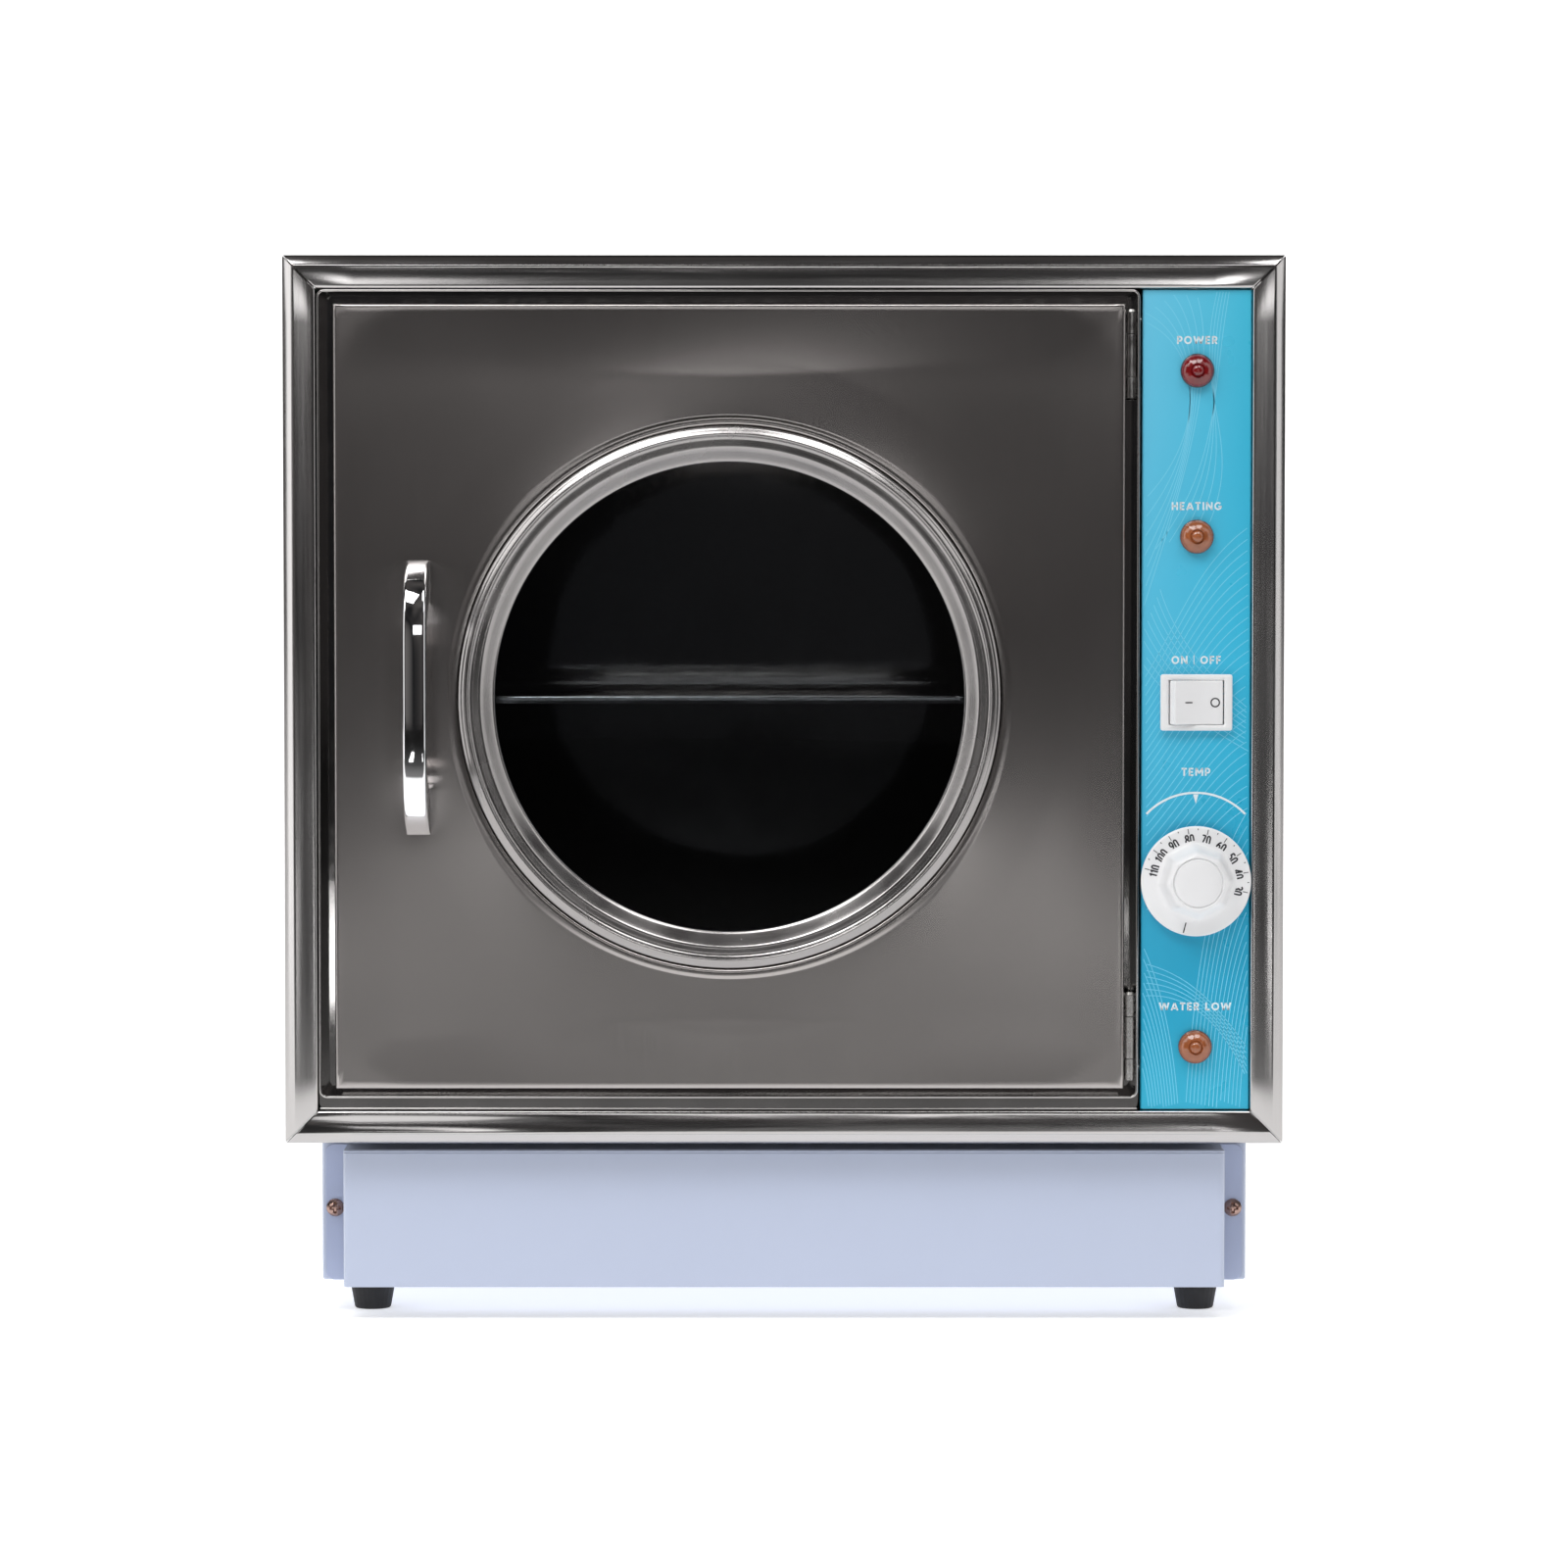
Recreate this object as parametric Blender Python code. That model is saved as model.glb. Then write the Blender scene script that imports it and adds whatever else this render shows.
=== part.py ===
"""Hot towel cabinet: a steel steam cabinet with an inset door, a round window and a control strip.

It stands on four feet on the plane Z = 0 and faces -Y, with the door hinged on its right-hand side.
Every size is in millimetres, and MM turns it into Blender's metres. A depth is a distance behind
the plane of the front frame, so a negative depth stands out towards the user.
"""

import math

import bmesh
import bpy
from mathutils import Matrix, Vector

MM = 0.001

# Overall size
FRAME_WIDTH = 446.0
FRAME_TOP = 477.0
FRAME_BOTTOM = 81.0
HANDLE_REACH = 28.0
TAP_MOUTH = 380.0
FACE_Y = (HANDLE_REACH - TAP_MOUTH) / 2  # Y of depth 0, which centres the object on its origin

# Clearances between pieces
GAP = 0.4
SHEET = 1.0

# Front frame: four mitred rails around the front opening
RAIL_WIDTH = 15.0
RAIL_SHEET = 1.2
RAIL_BACK = 18.0
MITRE_GAP = 0.15
OPENING_X = FRAME_WIDTH / 2 - RAIL_WIDTH
OPENING_LOW = FRAME_BOTTOM + RAIL_WIDTH
OPENING_HIGH = FRAME_TOP - RAIL_WIDTH

# Case behind the frame
CASE_X = OPENING_X + 1.5
CASE_TOP = OPENING_HIGH + 1.5
CASE_FRONT = 10.0
CASE_BACK = 351.0
CASE_FLOOR = 80.3
REAR_PANEL = 349.5

# Base box, its front cover and the feet
BASE_LOW = 15.0
BASE_HIGH = 79.8
BASE_FRONT = 39.0
BASE_SHEET = 1.2
COVER_X = 198.0
COVER_FRONT = 13.0
COVER_HIGH = 77.0
COVER_FLANGE_X = 208.0
COVER_SCREW_X = 203.5
COVER_SCREW_Z = 48.0
FOOT_X = 188.0
FOOT_DEPTHS = {"front": 56.0, "rear": 330.0}
FOOT_TOP_RADIUS = 10.7
FOOT_LOW_RADIUS = 8.3

# Door and the recess that it closes into
DOOR_X = -24.3
DOOR_Z = 280.5
DOOR_WIDTH = 352.0
DOOR_HEIGHT = 350.0
DOOR_DEPTH = 16.0
DOOR_EDGE_RADIUS = 1.5
RECESS_LEFT = -206.6
RECESS_RIGHT = 157.0
RECESS_LOW = 102.5
RECESS_HIGH = 460.6
RECESS_FRONT = 1.5
RECESS_FLOOR = 24.0
DOOR_LEFT = DOOR_X - DOOR_WIDTH / 2
DOOR_RIGHT = DOOR_X + DOOR_WIDTH / 2
DOOR_LOW = DOOR_Z - DOOR_HEIGHT / 2
DOOR_HIGH = DOOR_Z + DOOR_HEIGHT / 2

# Window
GLASS_RADIUS = 111.0
GLASS_FRONT = 7.9
GLASS_BACK = 12.1
WINDOW_SEGMENTS = 48

# Hinges
HINGE_X = (DOOR_RIGHT + RECESS_RIGHT) / 2
HINGE_DEPTH = 3.5
HINGE_LENGTH = 38.0
HINGE_CENTRES = {"lower": DOOR_LOW + 23.0, "upper": DOOR_HIGH - 23.0}
KNUCKLE_RADIUS = 2.3
PIN_BORE = 1.5
PIN_RADIUS = 1.15

# Handle
HANDLE_X = -162.7
HANDLE_LENGTH = 123.0
HANDLE_WIDTH = 10.5
HANDLE_SCREW_SPACING = 96.0

# Steam chamber and what is in it
CHAMBER_LEFT = -184.3
CHAMBER_RIGHT = 135.7
CHAMBER_LOW = 121.0
CHAMBER_HIGH = 441.0
CHAMBER_BACK = 300.0
TANK_LEFT, TANK_RIGHT = -154.3, 105.7
TANK_FRONT, TANK_BACK = 60.0, 270.0
TANK_FLOOR = 85.0
SHELF_Z = 278.0
SHELF_FRONT, SHELF_BACK = 30.0, 288.0
TRAY_Z = 129.0
HEATER_Z = 93.0
HEATER_LEADS = (10.0, 40.0)
FLOAT_X, FLOAT_DEPTH = 90.0, 250.0
PROBE_DEPTH, PROBE_Z = 200.0, 425.0

# Control strip
PANEL_LEFT, PANEL_RIGHT = 159.3, 207.7
PANEL_FACE = 2.5
PANEL_SHEET = 1.2
CONTROL_X = 183.5
KNOB_Z = 198.7
SWITCH_Z = 278.3
LAMP_Z = {"water": 124.5, "heating": 352.0, "power": 425.6}
LAMP_HOLE = 5.0

# Drain tap and mains inlet, on the back
DRAIN_X, DRAIN_Z = -100.0, 93.0
TAP_DEPTH = 363.0
INLET_X, INLET_Z = 150.0, 48.0
WIRE_X, WIRE_DEPTH = 175.0, 120.0

COLOURS = {  # name: (colour, roughness, metallic)
    "brushed_steel": ((0.46, 0.44, 0.44), 0.32, 1.0),
    "polished_steel": ((0.62, 0.61, 0.61), 0.12, 1.0),
    "chrome": ((0.85, 0.85, 0.86), 0.04, 1.0),
    "zinc_steel": ((0.55, 0.54, 0.52), 0.4, 1.0),
    "brass": ((0.71, 0.53, 0.26), 0.3, 1.0),
    "copper": ((0.72, 0.42, 0.29), 0.35, 1.0),
    "base_paint": ((0.6, 0.66, 0.8), 0.25, 0.0),
    "panel_blue": ((0.04, 0.45, 0.68), 0.35, 0.0),
    "white_plastic": ((0.86, 0.87, 0.88), 0.3, 0.0),
    "black_plastic": ((0.03, 0.03, 0.03), 0.45, 0.0),
    "rubber": ((0.015, 0.015, 0.017), 0.7, 0.0),
    "silicone": ((0.55, 0.55, 0.54), 0.6, 0.0),
    "insulation": ((0.75, 0.7, 0.5), 0.95, 0.0),
    "tinted_glass": ((0.02, 0.03, 0.035), 0.03, 0.0),
    "red_lens": ((0.45, 0.02, 0.02), 0.15, 0.0),
    "amber_lens": ((0.6, 0.2, 0.06), 0.15, 0.0),
}


def at(x, depth, z):
    """A point in Blender's metres, from millimetres and a depth behind the front plane."""
    return Vector((x, FACE_Y + depth, z)) * MM


# Meshes: each returns a bmesh that stands where the piece stands.


def prism(outline, low, high, axis):
    """A closed outline extruded along an axis.

    The outline's points are (x, z) for axis "depth", (x, depth) for "z" and (depth, z) for "x".
    """
    place = {
        "depth": lambda p, s: at(p[0], s, p[1]),
        "z": lambda p, s: at(p[0], p[1], s),
        "x": lambda p, s: at(s, p[0], p[1]),
    }[axis]
    bm = bmesh.new()
    rings = [[bm.verts.new(place(p, s)) for p in outline] for s in (low, high)]
    for ring in rings:
        bm.faces.new(ring)
    for i in range(len(outline)):
        j = (i + 1) % len(outline)
        bm.faces.new((rings[0][i], rings[0][j], rings[1][j], rings[1][i]))
    return bm


def block(x, depth, z):
    """A box from three (low, high) spans."""
    outline = [(x[0], z[0]), (x[1], z[0]), (x[1], z[1]), (x[0], z[1])]
    return prism(outline, depth[0], depth[1], "depth")


def rounded_rectangle(a, b, radius, steps=4):
    """The outline of a rectangle over the spans a and b with round corners."""
    corners = ((a[1], b[1], 0), (a[0], b[1], 90), (a[0], b[0], 180), (a[1], b[0], 270))
    outline = []
    for u, v, start in corners:
        cu = u - math.copysign(radius, u - sum(a) / 2)
        cv = v - math.copysign(radius, v - sum(b) / 2)
        for step in range(steps + 1):
            angle = math.radians(start + 90 * step / steps)
            outline.append((cu + radius * math.cos(angle), cv + radius * math.sin(angle)))
    return outline


def turned(profile, centre, axis, segments):
    """A closed (radius, height) profile turned about an axis through centre, which is (x, depth, z).

    Heights run along the axis: upwards for "z", to the right for "x" and backwards for "depth".
    """
    along, side, other = {
        "z": (Vector((0, 0, 1)), Vector((1, 0, 0)), Vector((0, 1, 0))),
        "x": (Vector((1, 0, 0)), Vector((0, 1, 0)), Vector((0, 0, 1))),
        "depth": (Vector((0, 1, 0)), Vector((1, 0, 0)), Vector((0, 0, 1))),
    }[axis]
    middle = at(*centre)
    bm = bmesh.new()
    rings = []
    for radius, height in profile:
        foot = middle + along * height * MM
        if radius == 0:
            rings.append([bm.verts.new(foot)] * segments)
            continue
        ring = []
        for i in range(segments):
            angle = 2 * math.pi * (i + 0.5) / segments
            out = side * math.cos(angle) + other * math.sin(angle)
            ring.append(bm.verts.new(foot + out * radius * MM))
        rings.append(ring)
    for a, b in zip(rings, rings[1:] + rings[:1]):
        for i in range(segments):
            j = (i + 1) % segments
            corners = list(dict.fromkeys((a[i], a[j], b[j], b[i])))
            if len(corners) > 2:
                bm.faces.new(corners)
    return bm


def rod(radius, low, high, centre, axis, segments=16):
    """A plain cylinder between two heights along an axis."""
    return turned([(0, low), (radius, low), (radius, high), (0, high)], centre, axis, segments)


def ring(inner, outer, low, high, centre, axis, segments=16):
    """A plain tube between two heights along an axis."""
    profile = [(inner, low), (outer, low), (outer, high), (inner, high)]
    return turned(profile, centre, axis, segments)


# Objects


def material(name):
    found = bpy.data.materials.get(name)
    if found:
        return found
    colour, roughness, metallic = COLOURS[name]
    made = bpy.data.materials.new(name)
    made.use_nodes = True
    shader = made.node_tree.nodes["Principled BSDF"]
    shader.inputs["Base Color"].default_value = (*colour, 1.0)
    shader.inputs["Roughness"].default_value = roughness
    shader.inputs["Metallic"].default_value = metallic
    made.diffuse_color = (*colour, 1.0)
    return made


def pivot(name, x, depth, z):
    """An empty on a joint's axis, which the pieces that move together hang from."""
    empty = bpy.data.objects.new(name, None)
    empty.location = at(x, depth, z)
    bpy.context.scene.collection.objects.link(empty)
    return empty


def add(name, bm, finish, parent=None, smooth=None):
    """Makes an object of a mesh in place, with its origin on its parent's pivot or at its centre."""
    bmesh.ops.recalc_face_normals(bm, faces=bm.faces)
    if parent:
        origin = parent.location.copy()
    else:
        corners = [v.co for v in bm.verts]
        low = Vector(min(c[k] for c in corners) for k in range(3))
        high = Vector(max(c[k] for c in corners) for k in range(3))
        origin = (low + high) / 2
    bmesh.ops.transform(bm, matrix=Matrix.Translation(-origin), verts=bm.verts)
    mesh = bpy.data.meshes.new(name)
    bm.to_mesh(mesh)
    bm.free()
    if finish:
        mesh.materials.append(material(finish))
    obj = bpy.data.objects.new(name, mesh)
    bpy.context.scene.collection.objects.link(obj)
    if parent:
        obj.parent = parent
    else:
        obj.location = origin
    if smooth:
        mesh.shade_smooth()
        mesh.set_sharp_from_angle(angle=math.radians(smooth))
    return obj


def combine(obj, operation, *meshes):
    """Joins helper meshes to an object, or cuts them out of it, with one Boolean each."""
    for number, bm in enumerate(meshes):
        helper = add(f"{obj.name}_{operation.lower()}_{number}", bm, None)
        helper.hide_render = True
        helper.display_type = "WIRE"
        modifier = obj.modifiers.new(helper.name, "BOOLEAN")
        modifier.operation = operation
        modifier.solver = "EXACT"
        modifier.object = helper
    return obj


def cut(obj, *meshes):
    return combine(obj, "DIFFERENCE", *meshes)


def join(obj, *meshes):
    return combine(obj, "UNION", *meshes)


def soften(obj, width, segments=2, angle=40):
    """Rounds an object's sharp edges."""
    bevel = obj.modifiers.new("soften", "BEVEL")
    bevel.width = width * MM
    bevel.segments = segments
    bevel.limit_method = "ANGLE"
    bevel.angle_limit = math.radians(angle)
    return obj


def tube(name, route, radius, finish):
    """A bent round bar along a list of (x, depth, z) points."""
    curve = bpy.data.curves.new(name, "CURVE")
    curve.dimensions = "3D"
    curve.bevel_depth = radius * MM
    curve.bevel_resolution = 2
    curve.use_fill_caps = True
    curve.resolution_u = 1
    spline = curve.splines.new("POLY")
    spline.points.add(len(route) - 1)
    for point, place in zip(spline.points, route):
        point.co = (*at(*place), 1.0)
    curve.materials.append(material(finish))
    obj = bpy.data.objects.new(name, curve)
    bpy.context.scene.collection.objects.link(obj)
    return obj


def smooth_route(points, steps=5):
    """Points on a Catmull-Rom curve through a few route points."""
    ends = [points[0], *points, points[-1]]
    route = []
    for a, b, c, d in zip(ends, ends[1:], ends[2:], ends[3:]):
        for step in range(steps):
            t = step / steps
            route.append(
                tuple(
                    0.5 * (2 * q + (r - p) * t + (2 * p - 5 * q + 4 * r - s) * t**2
                           + (3 * q - p - 3 * r + s) * t**3)
                    for p, q, r, s in zip(a, b, c, d)
                )
            )
    return [*route, points[-1]]


# Case


def rail_section():
    """The frame rail's folded section, as (outwards from its inner lip, depth)."""
    w, t, back = RAIL_WIDTH, RAIL_SHEET, RAIL_BACK
    outside = [(0, 9), (0, 0.8), (0.8, 0), (w * 0.4, -0.6), (w - 3.8, 0), (w - 2.6, 0.6)]
    outside += [(w - 0.6, 2.6), (w, 4.2), (w, back - 0.8), (w - 0.6, back), (2, back)]
    inside = [(2, back - t), (w - t - 0.3, back - t), (w - t, back - t - 0.3), (w - t, 4.7)]
    inside += [(w - 1.6, 3.5), (w - 3.4, 1.7), (w - 4.2, t), (w * 0.4, 0.65), (1.6, t)]
    inside += [(t, 1.6), (t, 9)]
    return outside + inside


def frame_rails():
    x, low, high = OPENING_X, OPENING_LOW, OPENING_HIGH
    sides = {  # name: (inner corner at the start, inner corner at the end, direction outwards)
        "bottom": ((-x, low), (x, low), (0, -1)),
        "right": ((x, low), (x, high), (1, 0)),
        "top": ((x, high), (-x, high), (0, 1)),
        "left": ((-x, high), (-x, low), (-1, 0)),
    }
    for side, (start, end, out) in sides.items():
        start, end, out = Vector(start), Vector(end), Vector(out)
        run = (end - start).normalized()
        bm = bmesh.new()
        ends = []
        for corner, way in ((start, -1), (end, 1)):
            verts = []
            for u, depth in rail_section():
                p = corner + out * u + run * way * (u - MITRE_GAP)
                verts.append(bm.verts.new(at(p.x, depth, p.y)))
            bm.faces.new(verts)
            ends.append(verts)
        for i in range(len(ends[0])):
            j = (i + 1) % len(ends[0])
            bm.faces.new((ends[0][i], ends[0][j], ends[1][j], ends[1][i]))
        add(f"frame_rail_{side}", bm, "polished_steel", smooth=35)


def outer_case():
    x, top, r = CASE_X, CASE_TOP, 3.0
    outside = rounded_rectangle((-x, x), (0, top), r)[:10]
    inside = rounded_rectangle((SHEET - x, x - SHEET), (0, top - SHEET), r - SHEET)[:10]
    outline = [(x, CASE_FLOOR), *outside, (-x, CASE_FLOOR)]
    outline += [(SHEET - x, CASE_FLOOR), *inside[::-1], (x - SHEET, CASE_FLOOR)]
    case = add("outer_case", prism(outline, CASE_FRONT, CASE_BACK, "depth"), "brushed_steel", smooth=35)
    notch_top = OPENING_LOW - 1.5
    cut(case, block((-x - 5, x + 5), (0, RAIL_BACK + GAP), (CASE_FLOOR - 5, notch_top)))

    inner_x = x - SHEET - 0.3
    floor = block((-inner_x, inner_x), (RAIL_BACK + GAP, REAR_PANEL - 0.3), (CASE_FLOOR, CASE_FLOOR + SHEET))
    floor = add("case_floor", floor, "zinc_steel")
    cut(floor, rod(6, -10, 10, (WIRE_X, WIRE_DEPTH, CASE_FLOOR), "z", 12))

    span_z = (CASE_FLOOR + SHEET + 0.3, top - SHEET - 0.3)
    outline = rounded_rectangle((-inner_x, inner_x), span_z, 3.0)
    panel = prism(outline, REAR_PANEL, REAR_PANEL + SHEET, "depth")
    panel = add("rear_panel", panel, "brushed_steel")
    cut(panel, rod(6, -10, 10, (DRAIN_X, REAR_PANEL, DRAIN_Z), "depth", 16))


def base_box():
    t = BASE_SHEET
    span_depth = (BASE_FRONT, CASE_BACK - 0.5)
    base = add("base_box", block((-CASE_X, CASE_X), span_depth, (BASE_LOW, BASE_HIGH)), "base_paint")
    soften(base, 0.8, 1)
    hollow = block(
        (t - CASE_X, CASE_X - t),
        (BASE_FRONT + t, span_depth[1] - t),
        (BASE_LOW + t, BASE_HIGH + 10),
    )
    access = block((-192, 192), (BASE_FRONT - 5, BASE_FRONT + 5), (24, 70))
    inlet = block((INLET_X - 14.2, INLET_X + 14.2), (340, 360), (INLET_Z - 10.2, INLET_Z + 10.2))
    screws = [
        rod(2.0, -5, 5, (side * COVER_SCREW_X, BASE_FRONT, COVER_SCREW_Z), "depth", 12)
        for side in (-1, 1)
    ]
    cut(base, hollow, access, inlet, *screws)


def base_cover():
    """A hat-shaped cover: a front face, folds back to two flanges, and a top lip."""
    t = BASE_SHEET
    back = BASE_FRONT - GAP
    span_z = (BASE_LOW, COVER_HIGH)
    flange = rounded_rectangle((-COVER_FLANGE_X, COVER_FLANGE_X), span_z, 4.0)
    cover = add("base_cover", prism(flange, back - t, back, "depth"), "base_paint")
    join(cover, block((-COVER_X, COVER_X), (COVER_FRONT, back), span_z))
    cut(cover, block((t - COVER_X, COVER_X - t), (COVER_FRONT + t, back + 10), (0, COVER_HIGH - t)))
    for side in (-1, 1):
        cut(cover, rod(2.2, -5, 5, (side * COVER_SCREW_X, back, COVER_SCREW_Z), "depth", 12))
    soften(cover, 0.5, 1)

    for name, side in (("left", -1), ("right", 1)):
        x = side * COVER_SCREW_X
        seat = back - t - 0.3
        head = [(0, -2.7), (2.4, -2.5), (3.7, -1.5), (4.1, 0), (1.75, 0), (1.75, 12), (0, 12)]
        screw = turned(head, (x, seat, COVER_SCREW_Z), "depth", 16)
        screw = add(f"cover_screw_{name}", screw, "copper", smooth=35)
        arm, half = 2.2, 0.5
        span = (seat - 4, seat - 1.2)
        cut(
            screw,
            block((x - arm, x + arm), span, (COVER_SCREW_Z - half, COVER_SCREW_Z + half)),
            block((x - half, x + half), span, (COVER_SCREW_Z - arm, COVER_SCREW_Z + arm)),
        )


def feet():
    top = BASE_LOW - 0.3
    profile = [(0, 3), (3.5, 3), (3.5, 0), (FOOT_LOW_RADIUS - 0.5, 0), (FOOT_LOW_RADIUS, 0.6)]
    profile += [(FOOT_TOP_RADIUS, top - 0.6), (FOOT_TOP_RADIUS - 0.5, top), (0, top)]
    for row, depth in FOOT_DEPTHS.items():
        for name, side in (("left", -1), ("right", 1)):
            foot = turned(profile, (side * FOOT_X, depth, 0), "z", 24)
            add(f"foot_{row}_{name}", foot, "rubber", smooth=35)


# Chamber


def chamber():
    """The recess that the door closes into and the chamber behind it, folded and welded from one sheet."""
    t = SHEET
    outer_x = (RECESS_LEFT - 0.9, RECESS_RIGHT + t)
    outer_z = (OPENING_LOW + GAP, RECESS_HIGH + t)
    recess = rounded_rectangle(outer_x, outer_z, 3.5)
    liner = add("chamber_liner", prism(recess, RECESS_FRONT, RECESS_FLOOR + t, "depth"), "polished_steel")
    inside_x = (CHAMBER_LEFT, CHAMBER_RIGHT)
    inside_z = (CHAMBER_LOW, CHAMBER_HIGH)
    join(
        liner,
        block(
            (CHAMBER_LEFT - t, CHAMBER_RIGHT + t),
            (RECESS_FLOOR + 0.3, CHAMBER_BACK + t),
            (CHAMBER_LOW - t, CHAMBER_HIGH + t),
        ),
    )
    door_well = rounded_rectangle((RECESS_LEFT, RECESS_RIGHT), (RECESS_LOW, RECESS_HIGH), 2.5)
    cut(
        liner,
        prism(door_well, -10, RECESS_FLOOR, "depth"),
        block(inside_x, (RECESS_FLOOR - 10, CHAMBER_BACK), inside_z),
        block((TANK_LEFT, TANK_RIGHT), (TANK_FRONT, TANK_BACK), (CHAMBER_LOW - 10, CHAMBER_LOW + 10)),
        rod(3.4, -10, 10, (CHAMBER_RIGHT, PROBE_DEPTH, PROBE_Z), "x", 12),
    )


def water_tank():
    t, slack, rim = SHEET, 0.5, 8.0
    wall_x = (TANK_LEFT + slack, TANK_RIGHT - slack)
    wall_depth = (TANK_FRONT + slack, TANK_BACK - slack)
    top = CHAMBER_LOW + 0.3
    tank = add("water_tank", block(wall_x, wall_depth, (TANK_FLOOR - t, top + t)), "polished_steel")
    rim_x = (wall_x[0] - rim, wall_x[1] + rim)
    rim_depth = (wall_depth[0] - rim, wall_depth[1] + rim)
    join(tank, prism(rounded_rectangle(rim_x, rim_depth, 6.0), top, top + t, "z"))
    hollow = rounded_rectangle((wall_x[0] + t, wall_x[1] - t), (wall_depth[0] + t, wall_depth[1] - t), 12.0)
    cut(tank, prism(hollow, TANK_FLOOR, top + 10, "z"))
    wall = wall_depth[1]
    cut(tank, rod(5.4, -10, 10, (DRAIN_X, wall, DRAIN_Z), "depth", 16))
    cut(tank, *(rod(4.4, -10, 10, (x, wall, HEATER_Z), "depth", 12) for x in HEATER_LEADS))


def heating_element():
    """A sheathed heater bent into a flat loop, with both ends out through the tank's back wall."""
    left, right, front, back, bend = -125.0, 62.0, 92.0, 235.0, 18.0
    first, second = HEATER_LEADS
    end = TANK_BACK + 14.0
    turns = (  # (centre x, centre depth, first angle, last angle)
        (first - bend, back + bend, 0, -90),
        (left + bend, back - bend, 90, 180),
        (left + bend, front + bend, 180, 270),
        (right - bend, front + bend, 270, 360),
        (right - bend, back - bend, 0, 90),
    )
    route = [(first, end, HEATER_Z)]
    for x, depth, start, stop in turns:
        for step in range(5):
            angle = math.radians(start + (stop - start) * step / 4)
            route.append((x + bend * math.cos(angle), depth + bend * math.sin(angle), HEATER_Z))
    route += [(second, back + 7, HEATER_Z), (second, end, HEATER_Z)]
    tube("heating_element", route, 4.0, "zinc_steel")


def float_switch():
    centre = (FLOAT_X, FLOAT_DEPTH, TANK_FLOOR)
    stem = [(0, 0.3), (8, 0.3), (8, 4), (3, 4), (3, 27), (5, 27), (5, 30), (0, 30)]
    add("float_stem", turned(stem, centre, "z", 16), "white_plastic", smooth=35)
    axis = pivot("float_axis", *centre)
    shape = [(3.6, 4.5), (8, 4.5), (9, 5.5), (9, 17.5), (8, 18.5), (3.6, 18.5)]
    add("water_float", turned(shape, centre, "z", 16), "white_plastic", axis, smooth=35)


def slots(span_x, span_depth, columns, rows, width, z):
    """A grid of long slots, as cutters through a level sheet."""
    pitch_x = (span_x[1] - span_x[0]) / columns
    pitch_d = (span_depth[1] - span_depth[0]) / rows
    found = []
    for column in range(columns):
        for row in range(rows):
            x = span_x[0] + pitch_x * (column + 0.5)
            depth = span_depth[0] + pitch_d * (row + 0.5)
            half = pitch_x * 0.41
            found.append(block((x - half, x + half), (depth - width / 2, depth + width / 2), (z - 5, z + 5)))
    return found


def shelf_and_tray():
    """The loose shelf with its ribs and front hem, its two side rails, and the loose floor tray."""
    rib, rise, t = 4.0, 1.6, SHEET
    ribs = [SHELF_FRONT + d for d in (78, 130, 182, 234)]
    top = [(SHELF_FRONT, SHELF_Z - 1), (SHELF_FRONT, SHELF_Z + t)]
    low = [(SHELF_FRONT + 3, SHELF_Z - 1), (SHELF_FRONT + 3, SHELF_Z)]
    for d in ribs:
        top += [(d - rib, SHELF_Z + t), (d, SHELF_Z + t + rise), (d + rib, SHELF_Z + t)]
        low += [(d - rib, SHELF_Z), (d, SHELF_Z + rise), (d + rib, SHELF_Z)]
    top.append((SHELF_BACK, SHELF_Z + t))
    low.append((SHELF_BACK, SHELF_Z))
    x = (CHAMBER_LEFT + 1.8, CHAMBER_RIGHT - 1.8)
    lift = pivot("shelf_axis", DOOR_X, SHELF_FRONT, SHELF_Z)
    shelf = add("towel_shelf", prism(top + low[::-1], *x, "x"), "polished_steel", lift)
    bounds = [SHELF_FRONT, *ribs, SHELF_BACK]
    for a, b in zip(bounds, bounds[1:]):
        cut(shelf, *slots((x[0] + 14, x[1] - 14), (a + 8, b - 6), 4, 2, 8.0, SHELF_Z))

    for name, wall, way in (("left", CHAMBER_LEFT, 1), ("right", CHAMBER_RIGHT, -1)):
        near, far = wall + way * 0.3, wall + way * 11
        inner = near + way * 1.2
        outline = [(near, SHELF_Z - 13), (near, SHELF_Z - 1.3), (far, SHELF_Z - 1.3)]
        outline += [(far, SHELF_Z - 2.5), (inner, SHELF_Z - 2.5), (inner, SHELF_Z - 13)]
        add(f"shelf_rail_{name}", prism(outline, 42.0, 286.0, "depth"), "polished_steel")

    left, right = CHAMBER_LEFT + 4, CHAMBER_RIGHT - 4
    foot = CHAMBER_LOW + 0.3
    outline = [(left, foot), (left, TRAY_Z + t), (right, TRAY_Z + t), (right, foot)]
    outline += [(right - t, foot), (right - t, TRAY_Z), (left + t, TRAY_Z), (left + t, foot)]
    lift = pivot("tray_axis", DOOR_X, SHELF_FRONT, TRAY_Z)
    tray = add("floor_tray", prism(outline, 31.0, 295.0, "depth"), "polished_steel", lift)
    cut(tray, *slots((left + 12, right - 12), (42, 284), 4, 7, 7.0, TRAY_Z))


def insulation():
    """A blanket over the chamber's top, sides and back."""
    thick, slack = 15.0, SHEET + 0.6
    left, right = CHAMBER_LEFT - slack, CHAMBER_RIGHT + slack
    top, back = CHAMBER_HIGH + slack, CHAMBER_BACK + slack
    outside = block((left - thick, right + thick), (30.0, back + thick), (CHAMBER_LOW, top + thick))
    blanket = add("insulation_blanket", outside, "insulation")
    cut(
        blanket,
        block((left, right), (0, back), (0, top)),
        rod(4.0, -30, 30, (CHAMBER_RIGHT, PROBE_DEPTH, PROBE_Z), "x", 12),
    )


# Door


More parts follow.
